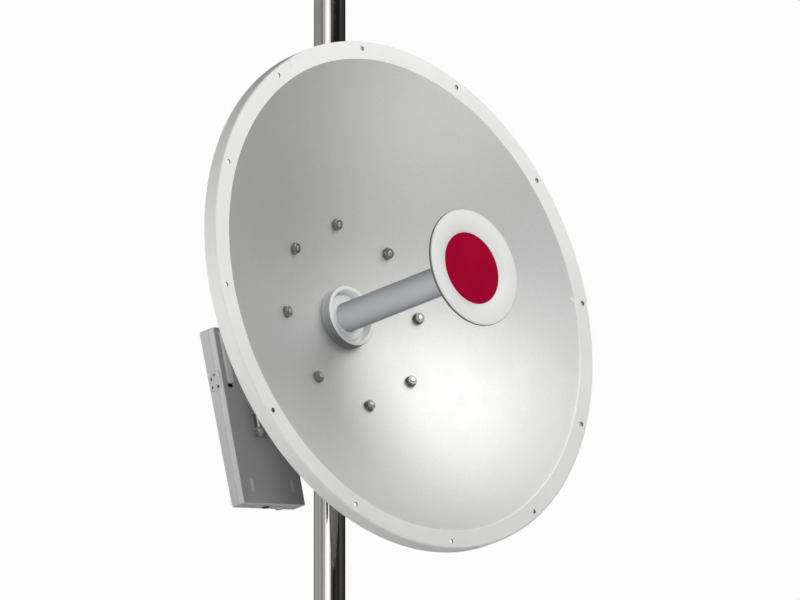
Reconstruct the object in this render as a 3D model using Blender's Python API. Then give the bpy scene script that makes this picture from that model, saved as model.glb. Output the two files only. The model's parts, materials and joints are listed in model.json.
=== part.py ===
"""A round dish antenna on a short mast, with its feed, its tilting mount and its radio case.

Units are metres and degrees. +Z is up, the dish looks towards -Y, and the origin is the
centre of the mast's foot. Pieces of the antenna are drawn in the dish's own frame: X to the
right for somebody who faces the dish, Y backwards along its axis and Z up its face, with
zero at the centre of the rim plane. Two empties carry what moves: one on the mast's axis,
for the swivel, and one on the tilt bolt's axis.
"""

import math

import bmesh
import bpy
from mathutils import Matrix, Vector

# Clearance between pieces that touch
GAP = 0.0003

# Mast
MAST_R = 0.0212
MAST_WALL = 0.0026
MAST_LENGTH = 1.0
MAST_SIDES = 32

# Reflector
RIM_R = 0.350
BOWL_R = 0.3256
BOWL_DEPTH = 0.122
SKIN = 0.002
SKIRT = 0.022
RIM_ROUND = 0.003
FEED_HOLE_R = 0.0206
RIM_HOLE_CIRCLE = 0.340
RIM_HOLE_R = 0.003
RIM_HOLES = 12
BOLT_CIRCLE = 0.126
BOLTS = 8
BOLT_HOLE_R = 0.0043
DISH_SIDES = 72

# Back pan, the pressed plate that the eight bolts hold behind the bowl
PAN_SKIN = 0.003
PAN_BACK = 0.130
PAN_FLAT_R = 0.110
PAN_LAND = (0.118, 0.137)
PAN_HOLE_R = 0.035

# Feed
TUBE_R = 0.020
TUBE_BORE = 0.0182
TUBE_FRONT = -0.098
COLLAR_R = 0.0423
COLLAR_FRONT = 0.1045
SUB_R = 0.0802
SUB_LIP = -0.1291
DISC_R = 0.0491
DISC_FRONT = -0.1237
HOUSING_BACK = 0.162

# How the dish stands on its mount
TILT = 14.0
TILT_RANGE = 20.0
DISH_SIDE_STEP = 0.1104
RIM_TO_MAST = 0.250
PIVOT_Y = 0.190
PIVOT_Z = 0.025
PIVOT_HEIGHT = 0.510
LOCK_R = 0.055
SLOT_SPARE = 6.0

# Tilt bracket on the dish and pole bracket on the mast, both of 4 mm plate
PLATE = 0.004
CHEEK_X = -0.046
PIVOT_BOLT_R = 0.005
LOCK_BOLT_R = 0.004
EAR_R = 0.014
BRACKET_HALF = 0.046
BRACKET_TOP = 0.028
BRACKET_FOOT = 0.082
BRACKET_FRONT = 0.030
NOTCH_REACH = 0.006
CLAMP_BOLT_X = 0.033
CLAMP_BOLT_Z = 0.035
JAW_HEIGHT = 0.036
JAW_BACK = 0.034

# Radio case and its arm
CASE_FACE = 0.180
CASE_X = -0.1308
CASE_Z = -0.1222
CASE_W = 0.116
CASE_L = 0.242
CASE_BASE = 0.010
CASE_SIDE = 0.020
CASE_DEEP = 0.036
CASE_SLOPE = 0.022
ARM_W = 0.034
ARM_START = 0.052
ARM_END = 0.190
CLIP_X = -0.1335
CLIP_Z = -0.133
CLIP_Y = 0.164


def material(name, colour, roughness, metallic=0.0):
    made = bpy.data.materials.new(name)
    made.use_nodes = True
    shader = made.node_tree.nodes["Principled BSDF"]
    shader.inputs["Base Color"].default_value = (*colour, 1.0)
    shader.inputs["Roughness"].default_value = roughness
    shader.inputs["Metallic"].default_value = metallic
    return made


def clear_scene():
    for old in list(bpy.data.objects):
        bpy.data.objects.remove(old, do_unlink=True)


def empty(name, place, turn=0.0, parent=None):
    made = bpy.data.objects.new(name, None)
    made.location = place
    made.rotation_euler = (turn, 0.0, 0.0)
    made.parent = parent
    bpy.context.scene.collection.objects.link(made)
    return made


def add_object(name, bm, look=None, holder=None, place=(0.0, 0.0, 0.0)):
    """Makes the object of a bmesh, held by an empty and placed in its frame."""
    mesh = bpy.data.meshes.new(name)
    bm.to_mesh(mesh)
    bm.free()
    mesh.shade_smooth()
    mesh.set_sharp_from_angle(angle=math.radians(35.0))
    made = bpy.data.objects.new(name, mesh)
    made.parent = holder
    made.location = place
    if look is not None:
        mesh.materials.append(look)
    bpy.context.scene.collection.objects.link(made)
    return made


def helper(name, bm, host):
    """A hidden solid that a Boolean of its host reads."""
    made = add_object(name, bm, None, host.parent, host.location)
    made.hide_render = True
    made.display_type = "WIRE"
    return made


def combine(host, bm, operation, name):
    step = host.modifiers.new(name, "BOOLEAN")
    step.operation = operation
    step.solver = "EXACT"
    step.object = helper(f"{host.name}_{name}", bm, host)


def cut(host, bm, name):
    combine(host, bm, "DIFFERENCE", name)


def fuse(host, bm, name):
    combine(host, bm, "UNION", name)


def tidy(bm):
    bmesh.ops.remove_doubles(bm, verts=bm.verts, dist=1e-6)
    bmesh.ops.recalc_face_normals(bm, faces=bm.faces)
    return bm


def turned(profile, sides, axis="Y"):
    """A solid of revolution. The profile is (radius, height), open if it ends on the axis."""
    along = Vector((0.0, 1.0, 0.0)) if axis == "Y" else Vector((0.0, 0.0, 1.0))
    bm = bmesh.new()
    points = [bm.verts.new(Vector((radius, 0.0, 0.0)) + height * along) for radius, height in profile]
    pairs = list(zip(points, points[1:]))
    if profile[0][0] > 0.0:
        pairs.append((points[-1], points[0]))
    lines = [bm.edges.new(pair) for pair in pairs]
    bmesh.ops.spin(
        bm,
        geom=points + lines,
        cent=(0.0, 0.0, 0.0),
        axis=along,
        angle=2.0 * math.pi,
        steps=sides,
        use_merge=True,
    )
    return tidy(bm)


def prism(outline, along, low, high):
    """A flat outline drawn on the two axes left by `along`, made thick from low to high."""
    order = {"X": (1, 2, 0), "Y": (0, 2, 1), "Z": (0, 1, 2)}[along]
    bm = bmesh.new()
    corners = []
    for first, second in outline:
        place = [0.0, 0.0, 0.0]
        place[order[0]] = first
        place[order[1]] = second
        place[order[2]] = low
        corners.append(bm.verts.new(place))
    face = bm.faces.new(corners)
    shift = [0.0, 0.0, 0.0]
    shift[order[2]] = high - low
    grown = bmesh.ops.extrude_face_region(bm, geom=[face])["geom"]
    moved = [item for item in grown if isinstance(item, bmesh.types.BMVert)]
    bmesh.ops.translate(bm, verts=moved, vec=shift)
    return tidy(bm)


def block(low, high):
    bm = bmesh.new()
    bmesh.ops.create_cube(bm, size=1.0)
    size = [top - bottom for bottom, top in zip(low, high)]
    middle = [(top + bottom) / 2.0 for bottom, top in zip(low, high)]
    bmesh.ops.scale(bm, verts=bm.verts, vec=size)
    bmesh.ops.translate(bm, verts=bm.verts, vec=middle)
    return bm


def placed(bm, point, direction):
    """Turns what stands on the Y axis to another direction and puts its zero at a point."""
    turn = Vector((0.0, 1.0, 0.0)).rotation_difference(Vector(direction)).to_matrix().to_4x4()
    bmesh.ops.transform(bm, matrix=Matrix.Translation(point) @ turn, verts=bm.verts)
    return bm


def merged(parts):
    """Several separate solids in one bmesh, for a cutter that drills many holes."""
    whole = bmesh.new()
    for part in parts:
        scratch = bpy.data.meshes.new("scratch")
        part.to_mesh(scratch)
        part.free()
        whole.from_mesh(scratch)
        bpy.data.meshes.remove(scratch)
    return whole


def rod(radius, start, end, sides=12):
    return turned([(0.0, start), (radius, start), (radius, end), (0.0, end)], sides)


def arc(centre, radius, first, last, steps):
    """Points on an arc, with angles in degrees counted from the first axis to the second."""
    points = []
    for step in range(steps + 1):
        angle = math.radians(first + (last - first) * step / steps)
        points.append((centre[0] + radius * math.cos(angle), centre[1] + radius * math.sin(angle)))
    return points


def bolt(head_r, head_h, washer_r, shank_r, grip, nut_r, nut_h, tail, sides=8):
    """Head, washer, shank, washer, nut and thread end along +Y, with zero under the head."""
    washer = 0.0015
    return turned(
        [
            (0.0, -washer - head_h),
            (head_r * 0.75, -washer - head_h),
            (head_r, -washer - head_h * 0.6),
            (head_r, -washer),
            (washer_r, -washer),
            (washer_r, 0.0),
            (shank_r, 0.0),
            (shank_r, grip),
            (washer_r, grip),
            (washer_r, grip + washer),
            (nut_r, grip + washer),
            (nut_r, grip + washer + nut_h),
            (shank_r, grip + washer + nut_h),
            (shank_r, grip + washer + nut_h + tail),
            (0.0, grip + washer + nut_h + tail),
        ],
        sides,
    )


def bowl_point(radius, offset):
    """(radius, depth) of a point that stands off the bowl's inner face by offset, backwards."""
    depth = BOWL_DEPTH * (1.0 - (radius / BOWL_R) ** 2)
    slope = 2.0 * BOWL_DEPTH * radius / BOWL_R**2
    length = math.hypot(slope, 1.0)
    return radius + offset * slope / length, depth + offset / length


def bowl_normal(radius, angle):
    slope = 2.0 * BOWL_DEPTH * radius / BOWL_R**2
    return Vector((slope * math.cos(angle), 1.0, slope * math.sin(angle))).normalized()


def around(count, start=0.0):
    return [math.radians(start + 360.0 * number / count) for number in range(count)]


# The mast: a steel tube with a disc welded in its foot and a plastic cap on its top

def make_mast(steel, plastic):
    bore = MAST_R - MAST_WALL
    tube = [(bore, 0.0), (MAST_R, 0.0), (MAST_R, MAST_LENGTH), (bore, MAST_LENGTH)]
    add_object("mast_pole", turned(tube, MAST_SIDES, "Z"), steel)
    foot_r = bore - GAP
    foot = [(0.0, 0.0), (foot_r, 0.0), (foot_r, 0.006), (0.0, 0.006)]
    add_object("mast_foot_disc", turned(foot, MAST_SIDES, "Z"), steel)
    inside = MAST_R + GAP
    outside = MAST_R + 0.002
    over = MAST_LENGTH + GAP
    cap = [
        (0.0, over),
        (inside, over),
        (inside, MAST_LENGTH - 0.014),
        (outside, MAST_LENGTH - 0.014),
        (outside, over + 0.001),
        (outside - 0.003, over + 0.0035),
        (0.0, over + 0.0045),
    ]
    add_object("mast_top_cap", turned(cap, MAST_SIDES, "Z"), plastic)


# The pole bracket: base plate in front of the mast, a cheek with the tilt slot, notched shelves

def notched_shelf(low, high, root, tip):
    """A shelf from the plate to the mast, its tip cut to a wide V that takes the tube."""
    near = math.copysign((MAST_R + GAP) / math.sin(math.radians(60.0)), root)
    reach = abs(near - tip) * math.tan(math.radians(60.0))
    outline = [
        (-BRACKET_HALF, root),
        (BRACKET_HALF, root),
        (BRACKET_HALF, tip),
        (reach, tip),
        (0.0, near),
        (-reach, tip),
        (-BRACKET_HALF, tip),
    ]
    return prism(outline, "Z", low, high)


def make_pole_bracket(holder, paint, zinc):
    pivot_y = -pivot_forward()
    top = BRACKET_TOP
    foot = -BRACKET_FOOT
    front = -BRACKET_FRONT
    base = block((-BRACKET_HALF, front, foot), (BRACKET_HALF, front + PLATE, top))
    bracket = add_object("pole_bracket", base, paint, holder)
    spare = TILT_RANGE + SLOT_SPARE
    ends = [90.0 + TILT + spare, 90.0 + TILT - spare]
    low_end = arc((pivot_y, 0.0), LOCK_R, -ends[0], -ends[0], 1)[0]
    cheek = [(front + 0.001, top)]
    cheek += arc((pivot_y, 0.0), EAR_R, 90.0, 180.0, 6)
    cheek += arc(low_end, 0.0115, 180.0, 250.0, 4)
    cheek += [(pivot_y - 0.010, -0.068), (front + 0.001, foot)]
    fuse(bracket, prism(cheek, "X", CHEEK_X, CHEEK_X + PLATE), "cheek")
    for number, edge in enumerate((top - PLATE, foot)):
        shelf = notched_shelf(edge, edge + PLATE, front + 0.001, -NOTCH_REACH)
        fuse(bracket, shelf, f"shelf{number}")
    slot = arc((pivot_y, 0.0), LOCK_R + LOCK_BOLT_R + 0.0004, -ends[0], -ends[1], 12)
    slot += arc((pivot_y, 0.0), LOCK_R - LOCK_BOLT_R - 0.0004, -ends[1], -ends[0], 12)
    cut(bracket, prism(slot, "X", CHEEK_X - 0.002, CHEEK_X + PLATE + 0.002), "slot")
    eye = rod(PIVOT_BOLT_R + GAP, CHEEK_X - 0.002, CHEEK_X + PLATE + 0.002, 16)
    cut(bracket, placed(eye, (0.0, pivot_y, 0.0), (1.0, 0.0, 0.0)), "eye")
    holes = []
    for place in clamp_places():
        hole = rod(LOCK_BOLT_R + GAP, front - 0.002, front + PLATE + 0.002)
        holes.append(placed(hole, (place[0], 0.0, place[1]), (0.0, 1.0, 0.0)))
    cut(bracket, merged(holes), "bolt_holes")
    pin = bolt(0.0085, 0.0064, 0.0100, PIVOT_BOLT_R, 2 * PLATE + 3 * GAP, 0.0092, 0.008, 0.003)
    start = (CHEEK_X - PLATE - 2 * GAP, pivot_y, 0.0)
    add_object("pivot_bolt", placed(pin, start, (1.0, 0.0, 0.0)), zinc, holder)


def clamp_places():
    middle = (BRACKET_TOP - BRACKET_FOOT) / 2.0
    return [
        (side * CLAMP_BOLT_X, middle + level * CLAMP_BOLT_Z)
        for level in (1.0, -1.0)
        for side in (-1.0, 1.0)
    ]


def make_clamp_jaw(name, middle, holder, paint):
    low = middle - JAW_HEIGHT / 2.0
    high = middle + JAW_HEIGHT / 2.0
    plate = block((-BRACKET_HALF, JAW_BACK - PLATE, low), (BRACKET_HALF, JAW_BACK, high))
    jaw = add_object(name, plate, paint, holder)
    for number, edge in enumerate((low, high - 0.003)):
        shelf = notched_shelf(edge, edge + 0.003, JAW_BACK - 0.001, NOTCH_REACH)
        fuse(jaw, shelf, f"shelf{number}")
    holes = []
    for side in (-1.0, 1.0):
        hole = rod(LOCK_BOLT_R + GAP, JAW_BACK - PLATE - 0.002, JAW_BACK + 0.002)
        holes.append(placed(hole, (side * CLAMP_BOLT_X, 0.0, middle), (0.0, 1.0, 0.0)))
    cut(jaw, merged(holes), "bolt_holes")


def make_clamps(holder, paint, zinc):
    middle = (BRACKET_TOP - BRACKET_FOOT) / 2.0
    make_clamp_jaw("clamp_jaw_upper", middle + CLAMP_BOLT_Z, holder, paint)
    make_clamp_jaw("clamp_jaw_lower", middle - CLAMP_BOLT_Z, holder, paint)
    grip = BRACKET_FRONT + JAW_BACK + 2 * GAP
    for number, place in enumerate(clamp_places(), 1):
        long_bolt = bolt(0.0072, 0.0053, 0.0080, LOCK_BOLT_R, grip, 0.0072, 0.0065, 0.006)
        start = (place[0], -BRACKET_FRONT - GAP, place[1])
        made = placed(long_bolt, start, (0.0, 1.0, 0.0))
        add_object(f"clamp_bolt_{number}", made, zinc, holder)


# The reflector and the pan behind it

def rim_profile():
    """The reflector's section: bowl, flat rim, back-turned skirt, then the outside again."""
    steps = 12
    radii = [FEED_HOLE_R + (BOWL_R - FEED_HOLE_R) * step / steps for step in range(steps + 1)]
    inside = [bowl_point(radius, 0.0) for radius in radii]
    edge = RIM_ROUND
    corner = [
        (RIM_R - edge, 0.0),
        (RIM_R - edge * 0.29, edge * 0.29),
        (RIM_R, edge),
    ]
    skirt = [(RIM_R, SKIRT), (RIM_R - SKIN, SKIRT), (RIM_R - SKIN, SKIN), (BOWL_R + 0.0022, SKIN)]
    outside = [bowl_point(radius, SKIN) for radius in reversed(radii[:-1])]
    outside[-1] = (FEED_HOLE_R, outside[-1][1])
    return inside + corner + skirt + outside


def make_reflector(holder, place, coat, pan_coat, zinc):
    dish = add_object("dish_reflector", turned(rim_profile(), DISH_SIDES), coat, holder, place)
    drills = []
    for angle in around(RIM_HOLES):
        spot = (RIM_HOLE_CIRCLE * math.cos(angle), 0.0, RIM_HOLE_CIRCLE * math.sin(angle))
        drills.append(placed(rod(RIM_HOLE_R, -0.004, 0.006, 10), spot, (0.0, 1.0, 0.0)))
    for angle in around(BOLTS):
        drills.append(placed(rod(BOLT_HOLE_R, -0.004, 0.006, 10), *bolt_seat(angle)))
    cut(dish, merged(drills), "holes")
    front = SKIN + GAP
    back = front + PAN_SKIN
    land = [PAN_LAND[1], (PAN_LAND[0] + PAN_LAND[1]) / 2.0, PAN_LAND[0]]
    flat = PAN_BACK - PAN_SKIN
    section = [bowl_point(radius, front) for radius in land]
    section += [(PAN_FLAT_R - 0.002, flat), (PAN_HOLE_R, flat), (PAN_HOLE_R, PAN_BACK)]
    section += [(PAN_FLAT_R, PAN_BACK)]
    section += [bowl_point(radius, back) for radius in reversed(land)]
    pan = add_object("back_plate", turned(section, 64), pan_coat, holder, place)
    drills = []
    for angle in around(BOLTS):
        drills.append(placed(rod(BOLT_HOLE_R, -0.002, 0.010, 10), *bolt_seat(angle)))
    cut(pan, merged(drills), "holes")
    grip = back + 2 * GAP
    for number, angle in enumerate(around(BOLTS), 1):
        short_bolt = bolt(0.0066, 0.0048, 0.0080, LOCK_BOLT_R, grip, 0.0072, 0.0065, 0.003)
        seat, normal = bolt_seat(angle)
        made = placed(short_bolt, seat - GAP * normal, normal)
        add_object(f"reflector_bolt_{number}", made, zinc, holder, place)


def bolt_seat(angle):
    """Where a bolt's axis meets the bowl's inner face, and the way that axis points."""
    radius, depth = bowl_point(BOLT_CIRCLE, 0.0)
    seat = Vector((radius * math.cos(angle), depth, radius * math.sin(angle)))
    return seat, bowl_normal(BOLT_CIRCLE, angle)


# The feed: collar, tube, cone, subreflector and the housing with its sockets behind the pan

def make_feed(holder, place, looks):
    bore = TUBE_R + GAP
    under = [bowl_point(radius, -GAP) for radius in (bore, 0.032, COLLAR_R)]
    under[0] = (bore, under[0][1])
    collar = under + [
        (COLLAR_R - 0.0005, COLLAR_FRONT + 0.0030),
        (COLLAR_R - 0.0014, COLLAR_FRONT + 0.0008),
        (COLLAR_R - 0.0032, COLLAR_FRONT),
        (0.0358, COLLAR_FRONT),
        (0.0345, COLLAR_FRONT + 0.0012),
        (0.0338, 0.1135),
        (0.0250, 0.1140),
        (0.0240, 0.1120),
        (bore, 0.1120),
    ]
    add_object("feed_collar", turned(collar, 40), looks["white"], holder, place)
    tube_end = BOWL_DEPTH + SKIN
    tube = [
        (TUBE_BORE, TUBE_FRONT),
        (TUBE_BORE, tube_end),
        (TUBE_R, tube_end),
        (TUBE_R, TUBE_FRONT),
    ]
    add_object("feed_tube", turned(tube, 32), looks["tube"], holder, place)
    plug_r = TUBE_BORE - GAP
    cone = [
        (0.0, TUBE_FRONT + 0.010),
        (plug_r, TUBE_FRONT + 0.010),
        (plug_r, TUBE_FRONT - GAP),
        (TUBE_R + 0.001, TUBE_FRONT - GAP),
        (0.030, -0.1050),
        (0.046, -0.1143),
        (0.046, -0.1153),
        (0.0, -0.1153),
    ]
    add_object("feed_cone", turned(cone, 32), looks["white"], holder, place)
    floor = DISC_FRONT + 0.0015
    sub_back = -0.1153 - GAP
    sub = [
        (0.0, sub_back),
        (0.050, sub_back),
        (0.074, SUB_LIP + 0.0068),
        (SUB_R - 0.0008, SUB_LIP + 0.0045),
        (SUB_R, SUB_LIP + 0.0030),
        (SUB_R - 0.0012, SUB_LIP + 0.0012),
        (SUB_R - 0.0045, SUB_LIP),
        (SUB_R - 0.0090, SUB_LIP + 0.0004),
        (0.060, DISC_FRONT - 0.0026),
        (0.052, DISC_FRONT - 0.0006),
        (DISC_R + GAP, DISC_FRONT),
        (DISC_R + GAP, floor),
        (0.0, floor),
    ]
    add_object("subreflector", turned(sub, 56), looks["white"], holder, place)
    disc = [
        (0.0, DISC_FRONT - 0.0004),
        (DISC_R - 0.0012, DISC_FRONT - 0.0002),
        (DISC_R, DISC_FRONT + 0.0003),
        (DISC_R, floor - GAP),
        (0.0, floor - GAP),
    ]
    add_object("centre_disc", turned(disc, 48), looks["crimson"], holder, place)
    make_housing(holder, place, looks)


def make_housing(holder, place, looks):
    front = BOWL_DEPTH + SKIN + GAP
    housing = [
        (0.0, front),
        (0.033, front),
        (0.033, front + 0.003),
        (0.027, front + 0.004),
        (0.027, HOUSING_BACK - 0.002),
        (0.025, HOUSING_BACK),
        (0.0, HOUSING_BACK),
    ]
    add_object("feed_housing", turned(housing, 32), looks["grey"], holder, place)
    base = HOUSING_BACK + GAP
    for name, side in (("feed_socket_left", -1.0), ("feed_socket_right", 1.0)):
        socket = [
            (0.0, base),
            (0.0095, base),
            (0.0095, base + 0.004),
            (0.0077, base + 0.004),
            (0.0077, base + 0.018),
            (0.0058, base + 0.018),
            (0.0052, base + 0.0155),
            (0.0, base + 0.0155),
        ]
        made = placed(turned(socket, 16), (side * 0.0125, 0.0, 0.0), (0.0, 1.0, 0.0))
        add_object(name, made, looks["zinc"], holder, place)


# The dish's half of the tilt joint

def pivot_forward():
    """How far the tilt axis lies in front of the mast's axis."""
    tilt = math.radians(TILT)
    return RIM_TO_MAST - PIVOT_Y * math.cos(tilt) - PIVOT_Z * math.sin(tilt)


def make_tilt_bracket(holder, place, paint, zinc):
    outer = DISH_SIDE_STEP + CHEEK_X - GAP
    inner = outer - PLATE
    front = PAN_BACK + GAP
    base = block((-0.062, front, -0.062), (outer, front + PLATE, 0.062))
    bracket = add_object("tilt_bracket", base, paint, holder, place)
    lock_z = PIVOT_Z - LOCK_R
    cheek = [(front + 0.001, -0.058)]
    cheek += arc((PIVOT_Y, lock_z), EAR_R, -90.0, 0.0, 6)
    cheek += arc((PIVOT_Y, PIVOT_Z), EAR_R, 0.0, 90.0, 6)
    cheek += [(front + 0.001, 0.054)]
    fuse(bracket, prism(cheek, "X", inner, outer), "cheek")
    cut(bracket, rod(PAN_HOLE_R, front - 0.002, front + PLATE + 0.002, 32), "feed_hole")
    eyes = []
    for radius, height in ((PIVOT_BOLT_R, PIVOT_Z), (LOCK_BOLT_R, lock_z)):
        eye = rod(radius + GAP, inner - 0.002, outer + 0.002, 16)
        eyes.append(placed(eye, (0.0, PIVOT_Y, height), (1.0, 0.0, 0.0)))
    cut(bracket, merged(eyes), "eyes")
    lock = bolt(0.0072, 0.0053, 0.0090, LOCK_BOLT_R, 2 * PLATE + 3 * GAP, 0.0072, 0.0065, 0.003)
    start = (inner - GAP, PIVOT_Y, lock_z)
    add_object("tilt_lock_bolt", placed(lock, start, (1.0, 0.0, 0.0)), zinc, holder, place)


# The radio case, on an arm that is bolted over the tilt bracket's corner

def make_radio_arm(holder, place, paint, zinc):
    front = PAN_BACK + PLATE + 2 * GAP
    half = ARM_W / 2.0
    across = [(ARM_START, -half), (ARM_END, -half), (ARM_END, half), (ARM_START, half)]
    turn = math.radians(225.0)
    outline = []
    for along, side in across:
        x = along * math.cos(turn) - side * math.sin(turn)
        z = along * math.sin(turn) + side * math.cos(turn)
        outline.append((x, z))
    arm = add_object("radio_arm", prism(outline, "Y", front, front + PLATE), paint, holder, place)
    tab = block(
        (CLIP_X - 0.010, front + 0.001, CLIP_Z - PLATE / 2.0),
        (CLIP_X + 0.010, CLIP_Y + 0.010, CLIP_Z + PLATE / 2.0),
    )
    fuse(arm, tab, "tab")
    eye = rod(LOCK_BOLT_R + GAP, -0.010, 0.010)
    cut(arm, placed(eye, (CLIP_X, CLIP_Y, CLIP_Z), (0.0, 0.0, 1.0)), "eye")
    ear = 0.0035
    step = PLATE / 2.0 + GAP
    reach = CASE_FACE - GAP
    foot = block((CLIP_X - 0.014, reach - 0.003, CLIP_Z - 0.018), (CLIP_X + 0.014, reach, CLIP_Z + 0.018))
    clip = add_object("radio_clip", foot, paint, holder, place)
    for number, low in enumerate((CLIP_Z + step, CLIP_Z - step - ear)):
        outline = [(CLIP_X - 0.008, reach - 0.001), (CLIP_X + 0.008, reach - 0.001)]
        outline += arc((CLIP_X, CLIP_Y), 0.008, 0.0, -180.0, 8)
        fuse(clip, prism(outline, "Z", low, low + ear), f"ear{number}")
    eye = rod(LOCK_BOLT_R + GAP, -0.015, 0.015)
    cut(clip, placed(eye, (CLIP_X, CLIP_Y, CLIP_Z), (0.0, 0.0, 1.0)), "eye")
    grip = 2.0 * (step + ear + GAP)
    pin = bolt(0.0072, 0.0050, 0.0078, LOCK_BOLT_R, grip, 0.0072, 0.0060, 0.003)
    start = (CLIP_X, CLIP_Y, CLIP_Z + grip / 2.0)
    add_object("radio_clip_bolt", placed(pin, start, (0.0, 0.0, -1.0)), zinc, holder, place)


def case_outline(inset, round_r, steps):
    """The case's outline in X and Z, with rounded corners."""
    half_w = CASE_W / 2.0 - inset
    half_l = CASE_L / 2.0 - inset
    points = []
    for side, up, first in ((1, 1, 0.0), (-1, 1, 90.0), (-1, -1, 180.0), (1, -1, 270.0)):
        centre = (CASE_X + side * (half_w - round_r), CASE_Z + up * (half_l - round_r))
        points += arc(centre, round_r, first, first + 90.0, steps)
    return points


def lofted(rings):
    """Joins outlines of equal count, each (points, depth), to one closed solid."""
    bm = bmesh.new()
    rows = [[bm.verts.new((x, depth, z)) for x, z in points] for points, depth in rings]
    for near, far in zip(rows, rows[1:]):
        for number, corner in enumerate(near):
            nxt = (number + 1) % len(near)
            bm.faces.new((corner, near[nxt], far[nxt], far[number]))
    bm.faces.new(rows[0])
    bm.faces.new(rows[-1])
    return tidy(bm)


def make_case(holder, place, looks):
    face = CASE_FACE
    steps = 3
    base_rings = [
        (case_outline(0.0012, 0.0050, steps), face),
        (case_outline(0.0, 0.0060, steps), face + 0.0012),
        (case_outline(0.0, 0.0060, steps), face + CASE_BASE),
    ]
    base = add_object("case_base", lofted(base_rings), looks["case"], holder, place)
    for number, side in enumerate((-1.0, 1.0)):
        x = CASE_X + side * 0.0368
        rib = block((x - 0.0025, face - 0.003, -0.2335), (x + 0.0025, face + 0.001, -0.2100))
        fuse(base, rib, f"rib{number}")
    seam = face + CASE_BASE + GAP
    cover_rings = [
        (case_outline(0.0, 0.0060, steps), seam),
        (case_outline(0.0, 0.0060, steps), face + CASE_SIDE),
        (case_outline(CASE_SLOPE * 0.75, 0.0060, steps), face + CASE_DEEP - 0.002),
        (case_outline(CASE_SLOPE, 0.0050, steps), face + CASE_DEEP),
    ]
    add_object("case_cover", lofted(cover_rings), looks["case"], holder, place)
    for name, side in (("case_rail_left", -1.0), ("case_rail_right", 1.0)):
        x = CASE_X + side * 0.0448
        outline = arc((x, -0.0725), 0.0068, 180.0, 360.0, 8)
        outline += [(x + 0.0068, -0.0080), (x - 0.0068, -0.0080)]
        made = prism(outline, "Y", face - GAP - 0.004, face - GAP)
        add_object(name, made, looks["rail"], holder, place)
    side_x = CASE_X - CASE_W / 2.0
    latch = prism(
        [
            (side_x - GAP, face + 0.0030),
            (side_x - GAP, face + 0.0185),
            (side_x - GAP - 0.0030, face + 0.0185),
            (side_x - GAP - 0.0045, face + 0.0150),
            (side_x - GAP - 0.0045, face + 0.0070),
            (side_x - GAP - 0.0025, face + 0.0030),
        ],
        "Z",
        -0.0870,
        -0.0680,
    )
    add_object("case_latch", latch, looks["case"], holder, place)
    make_ports(holder, place, looks)


def make_ports(holder, place, looks):
    bottom = CASE_Z - CASE_L / 2.0 - GAP
    middle = CASE_FACE + CASE_BASE + 0.0040
    gland = [
        (0.0, 0.0),
        (0.0078, 0.0),
        (0.0078, 0.0025),
        (0.0066, 0.0035),
        (0.0066, 0.0075),
        (0.0036, 0.0080),
        (0.0032, 0.0062),
        (0.0, 0.0062),
    ]
    made = placed(turned(gland, 20), (CASE_X - 0.006, middle, bottom), (0.0, 0.0, -1.0))
    add_object("cable_gland", made, looks["dark"], holder, place)
    vent = [(0.0, 0.0), (0.0060, 0.0), (0.0060, 0.0020), (0.0048, 0.0028), (0.0, 0.0028)]
    made = placed(turned(vent, 20), (CASE_X + 0.022, middle, bottom), (0.0, 0.0, -1.0))
    add_object("case_vent", made, looks["rail"], holder, place)


def main():
    clear_scene()
    looks = {
        "steel": material("polished steel", (0.62, 0.60, 0.58), 0.18, 1.0),
        "plastic": material("black plastic", (0.03, 0.03, 0.03), 0.5),
        "paint": material("grey bracket paint", (0.62, 0.63, 0.64), 0.45, 0.2),
        "zinc": material("zinc plated bolts", (0.55, 0.55, 0.53), 0.35, 1.0),
        "coat": material("white dish coat", (0.80, 0.80, 0.79), 0.45),
        "white": material("white plastic", (0.85, 0.86, 0.84), 0.35),
        "tube": material("blue grey tube", (0.42, 0.46, 0.50), 0.4),
        "crimson": material("crimson plastic", (0.42, 0.0, 0.03), 0.35),
        "grey": material("grey housing", (0.45, 0.46, 0.47), 0.5),
        "case": material("case plastic", (0.40, 0.41, 0.41), 0.5),
        "rail": material("case rails", (0.55, 0.56, 0.57), 0.45),
        "dark": material("dark gland", (0.05, 0.05, 0.05), 0.5),
    }
    make_mast(looks["steel"], looks["plastic"])
    swivel = empty("swivel_axis", (0.0, 0.0, PIVOT_HEIGHT))
    make_pole_bracket(swivel, looks["paint"], looks["zinc"])
    make_clamps(swivel, looks["paint"], looks["zinc"])
    tilt_place = (-DISH_SIDE_STEP, -pivot_forward(), 0.0)
    tilt = empty("tilt_axis", tilt_place, -math.radians(TILT), swivel)
    dish_place = (0.0, -PIVOT_Y, -PIVOT_Z)
    make_reflector(tilt, dish_place, looks["coat"], looks["paint"], looks["zinc"])
    make_feed(tilt, dish_place, looks)
    make_tilt_bracket(tilt, dish_place, looks["paint"], looks["zinc"])
    make_radio_arm(tilt, dish_place, looks["paint"], looks["zinc"])
    make_case(tilt, dish_place, looks)


main()
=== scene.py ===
"""Finished looks of the dish antenna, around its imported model.

The file is laid out as a Blender add-on and is run as a script. Each operator makes one piece,
or one group of like pieces, and the properties hold the sizes and colours that a user would
change. Lengths are metres. Pieces of the antenna are drawn in the dish's own frame: X to the
right for somebody who faces the dish, Y backwards along its axis, Z up its face, with zero at
the centre of the rim plane. A profile is a list of (radius, place on Y), and its rounds are
(corner, width, segments).
"""

import json
import math
from collections import namedtuple

import bmesh
import bpy
from bpy.props import FloatProperty, FloatVectorProperty, IntProperty, PointerProperty
from bpy.types import Operator, Panel, PropertyGroup
from mathutils import Matrix, Vector


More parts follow.
